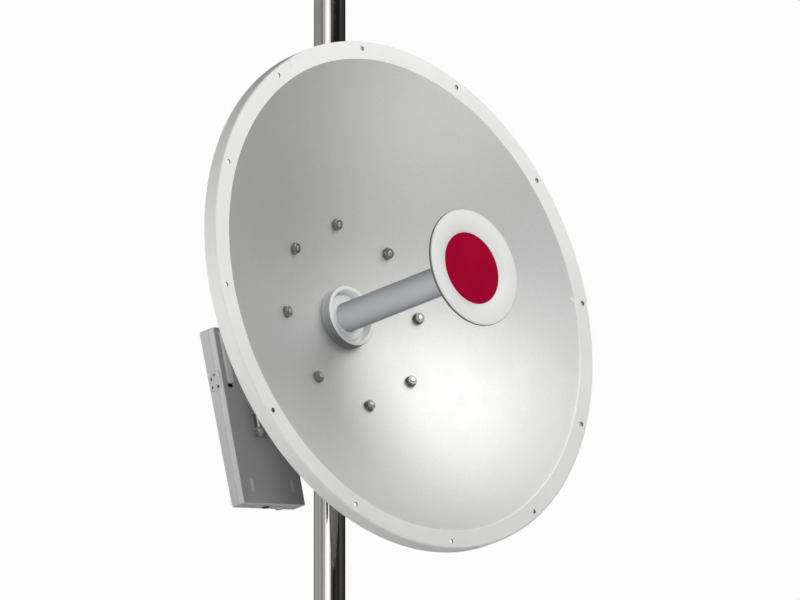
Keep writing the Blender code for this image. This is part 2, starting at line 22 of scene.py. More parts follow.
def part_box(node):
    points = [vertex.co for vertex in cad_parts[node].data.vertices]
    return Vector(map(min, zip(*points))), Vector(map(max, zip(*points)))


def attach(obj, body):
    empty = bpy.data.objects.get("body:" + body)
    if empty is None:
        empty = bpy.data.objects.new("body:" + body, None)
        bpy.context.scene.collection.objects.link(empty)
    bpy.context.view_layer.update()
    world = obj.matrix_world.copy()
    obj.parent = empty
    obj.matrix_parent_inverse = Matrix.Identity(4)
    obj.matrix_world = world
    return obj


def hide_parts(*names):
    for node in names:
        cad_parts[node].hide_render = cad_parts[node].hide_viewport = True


bl_info = {
    "name": "Dish antenna on a short mast",
    "version": (1, 0, 0),
    "blender": (4, 5, 0),
    "location": "3D view > Sidebar > Antenna",
    "description": "Makes the finished pieces of a round dish antenna, its mount and its radio case",
    "category": "Object",
}

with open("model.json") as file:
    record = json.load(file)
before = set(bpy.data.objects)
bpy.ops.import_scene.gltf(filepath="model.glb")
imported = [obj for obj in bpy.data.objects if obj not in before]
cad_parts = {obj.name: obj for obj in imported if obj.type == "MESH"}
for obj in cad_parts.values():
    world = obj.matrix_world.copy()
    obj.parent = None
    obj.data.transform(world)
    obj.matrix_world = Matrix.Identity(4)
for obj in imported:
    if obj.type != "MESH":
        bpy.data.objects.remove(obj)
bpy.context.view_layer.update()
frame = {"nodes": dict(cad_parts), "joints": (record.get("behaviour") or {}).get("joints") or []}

# How far the dish looks up at rest, the clearance between pieces that touch, and the tilt
# axis's place in the dish's own frame
TILT = math.radians(14.0)
GAP = 0.0003
PIVOT_BACK, PIVOT_UP = 0.190, 0.025
JOINT_PLACES = {joint["name"]: joint["pos_m"] for joint in frame["joints"]}
PIVOT_X, PIVOT_Y, PIVOT_Z = JOINT_PLACES["tilt"]


def dish_frame():
    """The dish's own frame, from the tilt joint and the reflector's middle."""
    low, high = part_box("dish_reflector")
    pivot = Matrix.Translation(((low.x + high.x) / 2.0, PIVOT_Y, PIVOT_Z))
    turn = Matrix.Rotation(-TILT, 4, "X")
    return pivot @ turn @ Matrix.Translation((0.0, -PIVOT_BACK, -PIVOT_UP))


# Frames that pieces are drawn in. In UPRIGHT, Y points up the mast.
DISH = dish_frame()
MOUNT = Matrix.Translation(JOINT_PLACES["swivel"])
WORLD = Matrix.Identity(4)
UPRIGHT = Matrix.Rotation(math.radians(90.0), 4, "X")

# Sizes that several pieces share: the back plate's skin, the holes for the reflector's bolts,
# the cone's front end, the depth of the disc's seat, and how far the rails and the raised
# marks stand from the middle of the case
PAN_SKIN = 0.003
BOLT_HOLE = 0.0043
CONE_FRONT = -0.1153
DISC_SEAT = 0.0015
RAIL_X, MARK_X = 0.0448, 0.0376

# Hexagon bolts; tail is the thread that shows beyond the nut
Bolt = namedtuple("Bolt", "across head washer shank nut tail pitch", defaults=(0.00125,))
BOLTS = {
    "reflector": Bolt(0.013, 0.0050, 0.0080, 0.0040, 0.0065, 0.003),
    "lock": Bolt(0.013, 0.0053, 0.0090, 0.0040, 0.0065, 0.003),
    "pivot": Bolt(0.016, 0.0064, 0.0100, 0.0050, 0.0080, 0.003, 0.0015),
    "clamp": Bolt(0.013, 0.0053, 0.0080, 0.0040, 0.0065, 0.006),
    "clip": Bolt(0.013, 0.0050, 0.0078, 0.0040, 0.0060, 0.003),
    "side pin": Bolt(0.010, 0.0040, 0.0058, 0.0028, 0.0050, 0.002, 0.0010),
}


def measure(name, description, default, **kind):
    return FloatProperty(name=name, description=description, default=default, **kind)


def length(name, description, default):
    return measure(name, description, default, unit="LENGTH", precision=4)


def colour(name, description, default):
    return FloatVectorProperty(
        name=name, description=description, default=default, subtype="COLOR", size=3, min=0.0, max=1.0
    )


class ANTENNA_PG_dish(PropertyGroup):
    rim_radius: length("Rim radius", "Outer radius of the flat rim", 0.350)
    bowl_radius: length("Bowl radius", "Radius where the bowl meets the rim", 0.3256)
    bowl_depth: length("Bowl depth", "Depth of the bowl behind the rim", 0.122)
    sheet: length("Sheet", "Thickness of the spun sheet", 0.002)
    skirt: length("Skirt", "Depth of the skirt turned back round the rim", 0.022)
    rim_round: length("Rim rounding", "Rounding between rim and skirt", 0.003)
    feed_hole: length("Feed hole", "Radius of the hole for the feed tube", 0.0206)
    hole_circle: length("Hole circle", "Radius of the circle of rim holes", 0.340)
    hole_radius: length("Hole radius", "Radius of a rim hole", 0.003)
    holes: IntProperty(name="Rim holes", description="Number of holes in the rim", default=12)
    bolt_circle: length("Bolt circle", "Radius of the ring of bolts in the bowl", 0.126)
    bolts: IntProperty(name="Bolts", description="Number of bolts through the bowl", default=8)
    pan_back: length("Pan back", "Rear face of the back plate, behind the rim plane", 0.130)
    rim_colour: colour("Rim colour", "Coat of the rim, the skirt and the back", (0.90, 0.90, 0.875))
    bowl_colour: colour("Bowl colour", "Coat of the bowl's inside", (0.76, 0.76, 0.745))


class ANTENNA_PG_feed(PropertyGroup):
    tube_radius: length("Tube radius", "Outer radius of the feed tube", 0.020)
    tube_bore: length("Tube bore", "Inner radius of the feed tube", 0.0182)
    tube_front: length("Tube front", "Front end of the tube along the dish's axis", -0.098)
    collar_radius: length("Collar radius", "Outer radius of the collar in the bowl", 0.0423)
    collar_front: length("Collar front", "Front face of the collar along the axis", 0.1045)
    sub_radius: length("Subreflector radius", "Outer radius of the subreflector", 0.0802)
    sub_lip: length("Subreflector lip", "Front of its lip along the axis", -0.1291)
    disc_radius: length("Disc radius", "Radius of the coloured centre disc", 0.0491)
    disc_front: length("Disc front", "Front of the coloured disc along the axis", -0.1237)
    housing_back: length("Housing back", "Rear face of the feed housing", 0.162)
    white: colour("White plastic", "Moulded collar, cone and subreflector", (0.87, 0.875, 0.86))
    # Painted shade: a grey that stands for the shade on the collar's wall and under the subreflector's lip
    painted_shade_grey: colour("Seal", "Grey rubber on the collar's wall and the subreflector's edge", (0.52, 0.53, 0.56))
    tube_colour: colour("Tube colour", "Blue grey coat of the feed tube", (0.86, 0.91, 0.98))
    disc_colour: colour("Disc colour", "Crimson of the centre disc", (0.385, 0.0012, 0.027))
    housing_colour: colour("Housing colour", "Grey of the feed housing", (0.45, 0.46, 0.47))


class ANTENNA_PG_mount(PropertyGroup):
    plate: length("Plate", "Thickness of the bracket plates", 0.004)
    edge: length("Edge", "Bevel on the plates' edges", 0.0006)
    clamp_x: length("Clamp bolt X", "Clamp bolts' distance from the mast's axis", 0.033)
    clamp_z: length("Clamp bolt Z", "Clamp bolts' distance from the bracket's middle", 0.035)
    bracket_top: length("Bracket top", "Top of the pole bracket above the pivot", 0.028)
    bracket_foot: length("Bracket foot", "Foot of the pole bracket below the pivot", 0.082)
    bracket_front: length("Bracket front", "Front face of the pole bracket's base", 0.030)
    jaw_back: length("Jaw back", "Rear face of the clamp jaws", 0.034)
    lock_radius: length("Lock radius", "Distance of the lock bolt from the pivot", 0.055)
    paint: colour("Bracket coat", "Light grey powder coat of the brackets", (0.56, 0.57, 0.575))
    # Painted shade: the clip's dark grey stands for the dish's shadow that it sits in
    clip: colour("Clip coat", "Dark grey coat of the radio clip", (0.30, 0.303, 0.306))
    zinc: colour("Zinc", "Bright zinc plate of the bolts", (0.42, 0.415, 0.405))


class ANTENNA_PG_case(PropertyGroup):
    face: length("Face", "Front face of the case behind the rim plane", 0.180)
    middle_x: length("Middle X", "Middle of the case across the dish", -0.1308)
    middle_z: length("Middle Z", "Middle of the case up the dish", -0.1222)
    width: length("Width", "Width of the case", 0.116)
    height: length("Height", "Height of the case", 0.242)
    base: length("Base depth", "Depth of the base", 0.010)
    side: length("Side depth", "Depth of the upright sides", 0.020)
    deep: length("Depth", "Whole depth of the case", 0.036)
    slope: length("Slope", "How far the cover's back is drawn in", 0.022)
    taper: length("Taper", "How much deeper the cover's upright sides are towards its top", 0.0035)
    plastic: colour("Case plastic", "Grey of the base and cover", (0.72, 0.725, 0.725))
    # Painted shade: the face is darker than the rest of the case because it lies in the dish's shadow
    front: colour("Face plastic", "Darker grain of the case's flat face", (0.38, 0.384, 0.384))
    rail: colour("Rail plastic", "Lighter grey of the rails and the vent", (0.64, 0.65, 0.65))


class ANTENNA_PG_mast(PropertyGroup):
    radius: length("Radius", "Outer radius of the mast tube", 0.0212)
    wall: length("Wall", "Wall of the mast tube", 0.0026)
    height: length("Height", "Length of the mast tube", 1.0)
    steel: colour("Steel", "Polished stainless steel", (0.43, 0.415, 0.39))
    cap: colour("Cap", "Black plastic of the cap and gland", (0.022, 0.022, 0.023))


class ANTENNA_PG_studio(PropertyGroup):
    azimuth: measure(
        "Azimuth", "How far left of the dish the camera stands", math.radians(46.01), subtype="ANGLE"
    )
    pitch: measure("Pitch", "How far the camera looks up", math.radians(2.95), subtype="ANGLE")
    distance: length("Distance", "From the camera to the rim's centre", 20.0)
    lens: measure("Lens", "Focal length in millimetres", 678.685)
    centre_u: measure("Centre U", "Rim centre right of the picture's middle, in pixels", 6.573)
    centre_v: measure("Centre V", "Rim centre above the picture's middle, in pixels", 6.143)
    floor: length("Floor radius", "Radius of the pale floor", 1.7)


# Finishes. A finish is a procedural material on object coordinates.

def add_node(tree, kind, inputs, settings):
    """A shader node, with inputs that are values or other nodes' outputs."""
    made = tree.nodes.new(kind)
    for key, value in settings.items():
        setattr(made, key, value)
    for key, value in inputs.items():
        if isinstance(value, bpy.types.NodeSocket):
            tree.links.new(value, made.inputs[key])
        else:
            made.inputs[key].default_value = value
    return made


def shade(base, factor):
    return (*[min(1.0, max(0.0, channel * factor)) for channel in base], 1.0)


class Finish:
    """A material in the making: most calls add a node and give back its output."""

    def __init__(self, name, base, place):
        self.material = bpy.data.materials.new(name)
        self.material.use_nodes = True
        self.tree = self.material.node_tree
        self.shader = self.tree.nodes["Principled BSDF"]
        self.base = base
        self.where = self.add("ShaderNodeTexCoord", which="Object")
        if place is not None:
            inputs = {"Vector": self.where, "Location": place.to_translation(), "Rotation": place.to_euler()}
            self.where = self.add("ShaderNodeMapping", inputs, vector_type="TEXTURE")

    def add(self, kind, inputs=(), which=0, **settings):
        return add_node(self.tree, kind, dict(inputs), settings).outputs[which]

    def noise(self, scale, detail=2.0, stretch=None):
        where = self.where
        if stretch is not None:
            where = self.add("ShaderNodeMapping", {"Vector": where, "Scale": stretch})
        inputs = {"Vector": where, "Scale": scale, "Detail": detail, "Roughness": 0.55}
        return self.add("ShaderNodeTexNoise", inputs)

    def rings(self, radius, scale):
        """Noise along a radius, as the marks of turning are."""
        inputs = {"W": radius, "Scale": scale, "Detail": 2.0}
        return self.add("ShaderNodeTexNoise", inputs, noise_dimensions="1D")

    def ranged(self, value, low, high, to_low=0.0, to_high=1.0, soft=False):
        inputs = {"Value": value, "From Min": low, "From Max": high, "To Min": to_low, "To Max": to_high}
        return self.add("ShaderNodeMapRange", inputs, interpolation_type="SMOOTHSTEP" if soft else "LINEAR")

    def swing(self, noise, middle, reach):
        """A measure that swings round its middle value with a noise."""
        return self.ranged(noise, 0.3, 0.7, middle - reach, middle + reach)

    def maths(self, operation, first, second):
        return self.add("ShaderNodeMath", {0: first, 1: second}, operation=operation)

    def mixed(self, amount, first, second):
        return self.add("ShaderNodeMix", {0: amount, 6: first, 7: second}, which=2, data_type="RGBA")

    def start(self, amount, first, second):
        """Sets the tint, between two shades of the base colour."""
        self.tint = self.mixed(amount, shade(self.base, first), shade(self.base, second))

    def over(self, amount, factor):
        """Lays another shade of the base colour over part of the tint."""
        self.tint = self.mixed(amount, self.tint, shade(self.base, factor))

    def edge(self):
        """Where the surface is an outer edge, for wear."""
        return self.ranged(self.add("ShaderNodeNewGeometry", which="Pointiness"), 0.52, 0.60)

    def along(self, axis):
        return self.add("ShaderNodeSeparateXYZ", {0: self.where}, axis)

    def reach(self, way):
        return self.add("ShaderNodeVectorMath", {0: way}, "Value", operation="LENGTH")

    def bump(self, height, distance, under=None):
        inputs = {"Height": height, "Distance": distance}
        if under is not None:
            inputs["Normal"] = under
        return self.add("ShaderNodeBump", inputs)

    def finish(self, roughness, normal=None, **fixed):
        """Links the tint and these outputs to the shader, and gives the material back."""
        for key, value in {"Base Color": self.tint, "Roughness": roughness, "Normal": normal}.items():
            if value is not None:
                self.tree.links.new(value, self.shader.inputs[key])
        for key, value in fixed.items():
            self.shader.inputs[key.replace("_", " ")].default_value = value
        return self.material


def powder_coat(name, base, roughness=0.44, place=None, peel=0.00012):
    """Baked powder coat: orange peel, a faint cloudiness and slightly rubbed edges."""
    look = Finish(name, base, place)
    dust = look.noise(46.0, 3.0)
    look.start(look.ranged(look.noise(7.0, 4.0), 0.3, 0.7), 0.955, 1.03)
    look.over(look.ranged(look.noise(1500.0, 1.0), 0.62, 0.74, 0.0, 0.22), 0.80)
    look.over(look.maths("MULTIPLY", look.edge(), look.ranged(dust, 0.45, 0.62, 0.0, 0.25)), 1.22)
    return look.finish(look.swing(dust, roughness, 0.05), look.bump(look.noise(520.0), peel))


def moulded(name, base, roughness, place=DISH, grain=0.00006, grain_scale=1400.0, swing=0.05, fade=None):
    """Moulded plastic: spark-eroded grain, slow changes of tint and gloss, paler edges.

    fade holds an axis, two places on it and how much darker the plastic gets between them, as painted shade.
    """
    look = Finish(name, base, place)
    grains = look.noise(grain_scale)
    look.start(look.ranged(look.noise(11.0, 3.0), 0.3, 0.7), 0.96, 1.035)
    look.over(look.ranged(grains, 0.58, 0.72, 0.0, 0.16), 1.25)
    look.over(look.maths("MULTIPLY", look.edge(), 0.14), 1.3)
    if fade:
        axis, start, end, factor = fade
        look.over(look.ranged(look.along(axis), start, end, soft=True), factor)
    return look.finish(look.swing(look.noise(60.0, 3.0), roughness, swing), look.bump(grains, grain))


def plated(name, base, roughness=0.32, place=DISH):
    """Bright zinc plate: fine grain, cloudy passivation and brighter rubbed edges."""
    look = Finish(name, base, place)
    cloud = look.noise(160.0, 3.0)
    warm = (base[0] * 0.93, base[1] * 0.90, base[2] * 0.80, 1.0)
    look.tint = look.mixed(look.ranged(cloud, 0.35, 0.7), shade(base, 1.0), warm)
    look.over(look.maths("MULTIPLY", look.edge(), 0.5), 1.35)
    rough = look.ranged(cloud, 0.3, 0.7, roughness - 0.07, roughness + 0.09)
    return look.finish(rough, look.bump(look.noise(2600.0), 0.00002), Metallic=1.0)


def bowl_coat(name, base):
    """Satin metallic coat on a spun bowl: fine sparkle over faint turning marks."""
    look = Finish(name, base, DISH)
    radius = look.reach(look.add("ShaderNodeCombineXYZ", {0: look.along("X"), 2: look.along("Z")}))
    rings = look.rings(radius, 900.0)
    flakes = look.noise(1150.0, 3.0)
    look.start(look.ranged(look.noise(6.0, 4.0), 0.3, 0.7), 0.98, 1.015)
    look.tint = look.mixed(look.ranged(flakes, 0.30, 0.72), shade(base, 0.86), look.tint)
    look.over(look.ranged(flakes, 0.60, 0.76, 0.0, 0.5), 1.22)
    look.over(look.ranged(look.rings(radius, 70.0), 0.4, 0.7, 0.0, 0.06), 0.8)
    rough = look.maths("ADD", look.swing(look.noise(38.0, 3.0), 0.51, 0.015), look.swing(rings, 0.0, 0.015))
    normal = look.bump(rings, 0.000012, look.bump(flakes, 0.00006))
    return look.finish(rough, normal, Metallic=0.75)


def tube_coat(name, base):
    """Smooth coat of the feed tube, with painted shade where it turns away from the eye."""
    look = Finish(name, base, DISH)
    turned = look.add("ShaderNodeLayerWeight", {"Blend": 0.5}, "Facing")
    look.start(look.ranged(look.noise(14.0, 3.0), 0.3, 0.7), 0.95, 1.05)
    look.over(look.ranged(look.noise(1500.0, 1.0), 0.6, 0.75, 0.0, 0.2), 1.2)
    # Painted shade: the tint darkens to 0.3 where the surface turns away from the eye
    look.over(look.ranged(turned, 0.06, 0.75), 0.30)
    normal = look.bump(look.noise(620.0), 0.00006)
    return look.finish(look.swing(look.noise(50.0, 3.0), 0.45, 0.05), normal, Specular_IOR_Level=0.3)


def disc_plastic(name, base):
    """Dull, deep coloured plastic of the centre disc."""
    look = Finish(name, base, DISH)
    grains = look.noise(1900.0)
    deep = (base[0] * 0.90, base[1] * 0.8, base[2] * 1.05, 1.0)
    look.tint = look.mixed(look.ranged(look.noise(26.0, 3.0), 0.3, 0.7), deep, shade(base, 1.04))
    look.over(look.ranged(grains, 0.6, 0.75, 0.0, 0.12), 1.4)
    rough = look.swing(look.noise(70.0, 3.0), 0.60, 0.05)
    return look.finish(rough, look.bump(grains, 0.00002), Specular_IOR_Level=0.02)


def polished_steel(name, base):
    """Drawn and polished tube: fine lengthwise lines, a few faint smears."""
    look = Finish(name, base, None)
    lines = look.noise(1500.0, 2.0, (1.0, 1.0, 0.012))
    smear = look.noise(24.0, 4.0, (1.0, 1.0, 0.35))
    look.start(look.ranged(smear, 0.3, 0.75), 1.0, 0.90)
    look.over(look.ranged(lines, 0.35, 0.7, 0.0, 0.25), 0.84)
    return look.finish(look.swing(smear, 0.09, 0.02), look.bump(lines, 0.000006), Metallic=1.0)


def floor_paper(name, radius):
    """Pale floor that shines a little for the camera alone and fades out towards its edge."""
    look = Finish(name, (1.0, 1.0, 1.0), None)
    cloud = look.noise(3.0, 3.0)
    look.start(cloud, 0.84, 0.88)
    look.finish(look.swing(cloud, 0.80, 0.05))
    fade = look.ranged(look.reach(look.where), radius * 0.45, radius * 0.97, soft=True)
    glow = look.maths("MULTIPLY", look.add("ShaderNodeLightPath", which="Is Camera Ray"), 0.34)
    look.tree.links.new(glow, look.shader.inputs["Emission Strength"])
    clear = look.add("ShaderNodeBsdfTransparent")
    both = look.add("ShaderNodeMixShader", {0: fade, 1: look.shader.outputs[0], 2: clear})
    look.tree.links.new(both, look.tree.nodes["Material Output"].inputs["Surface"])
    return look.material


# Shapes

def tidy(bm):
    bmesh.ops.remove_doubles(bm, verts=bm.verts, dist=1e-6)
    bmesh.ops.recalc_face_normals(bm, faces=bm.faces)
    return bm


def bevelled(bm, edges, width, segments=2):
    bmesh.ops.bevel(
        bm, geom=edges, offset=width, offset_type="OFFSET", affect="EDGES", segments=segments,
        profile=0.5, material=-1, clamp_overlap=True,
    )
    return bm


def sharp_edges(bm, angle=30.0):
    limit = math.radians(angle)
    return [edge for edge in bm.edges if len(edge.link_faces) == 2 and edge.calc_face_angle(0.0) > limit]


def off_axis(point):
    return math.hypot(point.x, point.z)


def on_circle(radius, angle, y=0.0):
    return Vector((radius * math.cos(angle), y, radius * math.sin(angle)))


def around(count, start=0.0):
    return [math.radians(start + 360.0 * number / count) for number in range(count)]


def arc(centre, radius, first, last, steps):
    angles = [math.radians(first + (last - first) * step / steps) for step in range(steps + 1)]
    return [(centre[0] + radius * math.cos(angle), centre[1] + radius * math.sin(angle)) for angle in angles]


def spun(profile, sides, rounds=()):
    """A solid of revolution round Y, with some of its profile's corners rounded."""
    bm = bmesh.new()
    points = [bm.verts.new((radius, height, 0.0)) for radius, height in profile]
    pairs = list(zip(points, points[1:]))
    if profile[0][0] > 0.0:
        pairs.append((points[-1], points[0]))
    lines = [bm.edges.new(pair) for pair in pairs]
    bmesh.ops.spin(
        bm, geom=points + lines, cent=(0.0, 0.0, 0.0), axis=(0.0, 1.0, 0.0), angle=2.0 * math.pi,
        steps=sides, use_merge=True,
    )
    tidy(bm)
    for corner, width, segments in rounds:
        radius, height = profile[corner]

        def there(vert):
            return abs(off_axis(vert.co) - radius) < 1e-6 and abs(vert.co.y - height) < 1e-6

        bevelled(bm, [edge for edge in bm.edges if all(there(vert) for vert in edge.verts)], width, segments)
    return bm


def rod(radius, low, high, sides=24, rounds=()):
    return spun([(0.0, low), (radius, low), (radius, high), (0.0, high)], sides, rounds)


def ring(inner, outer, low, high, sides=32, bevel=0.0):
    made = spun([(inner, low), (outer, low), (outer, high), (inner, high)], sides)
    if bevel:
        bevelled(made, sharp_edges(made, 60.0), bevel, 1)
    return made


def extruded(bm, faces):
    """Extrudes faces and gives back the verts of their far ends."""
    grown = bmesh.ops.extrude_face_region(bm, geom=faces)["geom"]
    return [item for item in grown if isinstance(item, bmesh.types.BMVert)]


def prism(outline, along, low, high):
    """A flat outline on the two axes left by `along`, made thick from low to high."""
    axis = "XYZ".index(along)
    bm = bmesh.new()
    face = bm.faces.new([bm.verts.new((*pair[:axis], low, *pair[axis:])) for pair in outline])
    way = Vector()
    way[axis] = high - low
    bmesh.ops.translate(bm, verts=extruded(bm, [face]), vec=way)
    return tidy(bm)


def block(low, high):
    bm = bmesh.new()
    bmesh.ops.create_cube(bm, size=1.0)
    bmesh.ops.scale(bm, verts=bm.verts, vec=[top - bottom for bottom, top in zip(low, high)])
    bmesh.ops.translate(bm, verts=bm.verts, vec=[(top + bottom) / 2.0 for bottom, top in zip(low, high)])
    return bm


def shift(x, y, z):
    return Matrix.Translation((x, y, z))


def aimed(point, direction):
    """The matrix that turns the Y axis to a direction and moves zero to a point."""
    turn = Vector((0.0, 1.0, 0.0)).rotation_difference(Vector(direction)).to_matrix().to_4x4()
    return Matrix.Translation(point) @ turn


def moved(bm, matrix):
    bmesh.ops.transform(bm, matrix=matrix, verts=bm.verts)
    return bm


def merged(parts):
    """Several separate solids in one bmesh."""
    whole = bmesh.new()
    for part in parts:
        scratch = bpy.data.meshes.new("scratch")
        part.to_mesh(scratch)
        part.free()
        whole.from_mesh(scratch)
        bpy.data.meshes.remove(scratch)
    return whole


def scratch_object(bm):
    mesh = bpy.data.meshes.new("scratch")
    bm.to_mesh(mesh)
    bm.free()
    made = bpy.data.objects.new("scratch", mesh)
    bpy.context.scene.collection.objects.link(made)
    return made


def carved(bm, tool, operation="DIFFERENCE"):
    """The result of an exact Boolean of two solids, which are used up."""
    host, other = scratch_object(bm), scratch_object(tool)
    step = host.modifiers.new("carve", "BOOLEAN")
    step.operation = operation
    step.solver = "EXACT"
    step.object = other
    bpy.context.view_layer.update()
    shown = host.evaluated_get(bpy.context.evaluated_depsgraph_get())
    result = bmesh.new()
    result.from_mesh(shown.to_mesh())
    shown.to_mesh_clear()
    for used in (host, other):
        mesh = used.data
        bpy.data.objects.remove(used)
        bpy.data.meshes.remove(mesh)
    if not result.faces:
        raise RuntimeError(f"the {operation.lower()} left nothing")
    return result


def paint(bm, index, test):
    """Gives another of the piece's looks to faces whose middle and normal pass a test."""
    for face in bm.faces:
        if test(face.calc_center_median(), face.normal):
            face.material_index = index


def softened(node, width):
    """A merged copy of a CAD node's mesh with its sharp edges bevelled, in the row's frame."""
    bm = bmesh.new()
    bm.from_mesh(frame["nodes"][node].data)
    bmesh.ops.remove_doubles(bm, verts=bm.verts, dist=3e-6)
    bmesh.ops.dissolve_limit(bm, angle_limit=math.radians(0.6), verts=bm.verts, edges=bm.edges)
    return bevelled(bm, sharp_edges(bm, 32.0), width)


def add_piece(name, bm, looks, nodes=(), body="dish", place=DISH, sharp=32.0):
    """Puts a finished mesh in its place, on its body, for the nodes that it replaces."""
    moved(bm, place)
    mesh = bpy.data.meshes.new(name)
    bm.to_mesh(mesh)
    bm.free()
    for look in looks:
        mesh.materials.append(look)
    mesh.shade_smooth()
    mesh.set_sharp_from_angle(angle=math.radians(sharp))
    piece = bpy.data.objects.new(name, mesh)
    bpy.context.scene.collection.objects.link(piece)
    step = piece.modifiers.new("even shading", "WEIGHTED_NORMAL")
    step.keep_sharp = True
    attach(piece, body)
    if nodes:
        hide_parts(*nodes)


# Fasteners

def hexagon(across, height, chamfer):
    """A hexagon bar along Y from zero to height, its far end turned to a cone."""
    corner = across / math.sqrt(3.0)
    bm = bmesh.new()
    bmesh.ops.create_cone(
        bm, cap_ends=True, cap_tris=False, segments=6, radius1=corner, radius2=corner, depth=height
    )
    moved(bm, Matrix.Rotation(math.radians(-90.0), 4, "X"))
    moved(bm, shift(0.0, height / 2.0, 0.0))
    wide, shoulder = corner * 1.1, height - chamfer * 1.35
    profile = [(0.0, -0.001), (wide, -0.001), (wide, shoulder), (across / 2.0 * 0.95, height), (0.0, height)]
    return carved(bm, spun(profile, 48), "INTERSECT")


def threaded_rod(radius, low, high, pitch):
    """A rod with a thread's ridges from low to high and a chamfered end."""
    root = radius * 0.88
    profile = [(0.0, low), (root, low)]
    place = low + pitch * 0.5
    while place < high - pitch:
        profile += [(radius, place), (radius, place + pitch * 0.12), (root, place + pitch * 0.5)]
        profile.append((root, place + pitch * 0.6))
        place += pitch
    return spun(profile + [(root, high - 0.0004), (root * 0.86, high), (0.0, high)], 24)


def fastener(bolt, grip):
    """Bolt, two washers, nut and thread end along +Y, with zero under the head's washer."""
    thick = 0.0015
    seat = grip + thick
    end = seat + bolt.nut + bolt.tail
    bore, chamfer = bolt.shank + 0.0002, bolt.across * 0.10
    head = moved(hexagon(bolt.across, bolt.head, chamfer), Matrix.Rotation(math.pi, 4, "X"))
    return merged([
        moved(head, shift(0.0, -thick, 0.0)),
        ring(bore, bolt.washer, -thick, 0.0, bevel=0.0002),
        rod(bolt.shank * 0.97, -thick, grip),
        ring(bore, bolt.washer, grip, seat, bevel=0.0002),
        threaded_rod(bolt.shank, grip, end, bolt.pitch),
        carved(moved(hexagon(bolt.across, bolt.nut, chamfer), shift(0.0, seat, 0.0)), rod(bore, grip, end)),
    ])


def copies(model, count, step):
    """Numbered copies of a fastener, each twisted further round its axis, in degrees."""
    for number in range(1, count + 1):
        yield number, moved(model.copy(), Matrix.Rotation(math.radians(step * number), 4, "Y"))
    model.free()


def weld(start, end):
    """A weld bead along a line: a tube whose rings swell and shrink."""
    radius, ripple = 0.0020, 0.0016
    bm = bmesh.new()
    start, end = Vector(start), Vector(end)
    run = end - start
    count = max(6, int(run.length / ripple) * 2)
    turn = Vector((0.0, 0.0, 1.0)).rotation_difference(run).to_matrix().to_4x4()
    loops = []
    for number in range(count + 1):
        last = number in (0, count)
        swell = radius * (0.55 if last else 1.13 if number % 2 else 0.95)
        place = Matrix.Translation(start + run * number / count) @ turn
        made = bmesh.ops.create_circle(
            bm, cap_ends=last, cap_tris=False, segments=10, radius=swell, matrix=place
        )
        loops.append([edge for edge in bm.edges if all(vert in made["verts"] for vert in edge.verts)])
    for near, far in zip(loops, loops[1:]):
        bmesh.ops.bridge_loops(bm, edges=near + far)
    return tidy(bm)


# The reflector and what is bolted to it

def bowl_slope(radius):
    dish = bpy.context.scene.antenna_dish
    return 2.0 * dish.bowl_depth * radius / dish.bowl_radius**2


def bowl_point(radius, offset):
    """(radius, depth) of a point that stands off the bowl's inner face by offset, backwards."""
    dish = bpy.context.scene.antenna_dish
    depth = dish.bowl_depth * (1.0 - (radius / dish.bowl_radius) ** 2)
    slope = bowl_slope(radius)
    span = math.hypot(slope, 1.0)
    return radius + offset * slope / span, depth + offset / span


def bolt_seats():
    """Where each bolt's axis meets the bowl's inner face, and the way that axis points."""
    dish = bpy.context.scene.antenna_dish
    radius, depth = bowl_point(dish.bolt_circle, 0.0)
    slope = bowl_slope(radius)
    return [
        (on_circle(radius, angle, depth), on_circle(slope, angle, 1.0).normalized())
        for angle in around(dish.bolts)
    ]


def bolt_holes(low, high):
    return merged([moved(rod(BOLT_HOLE, low, high), aimed(*seat)) for seat in bolt_seats()])


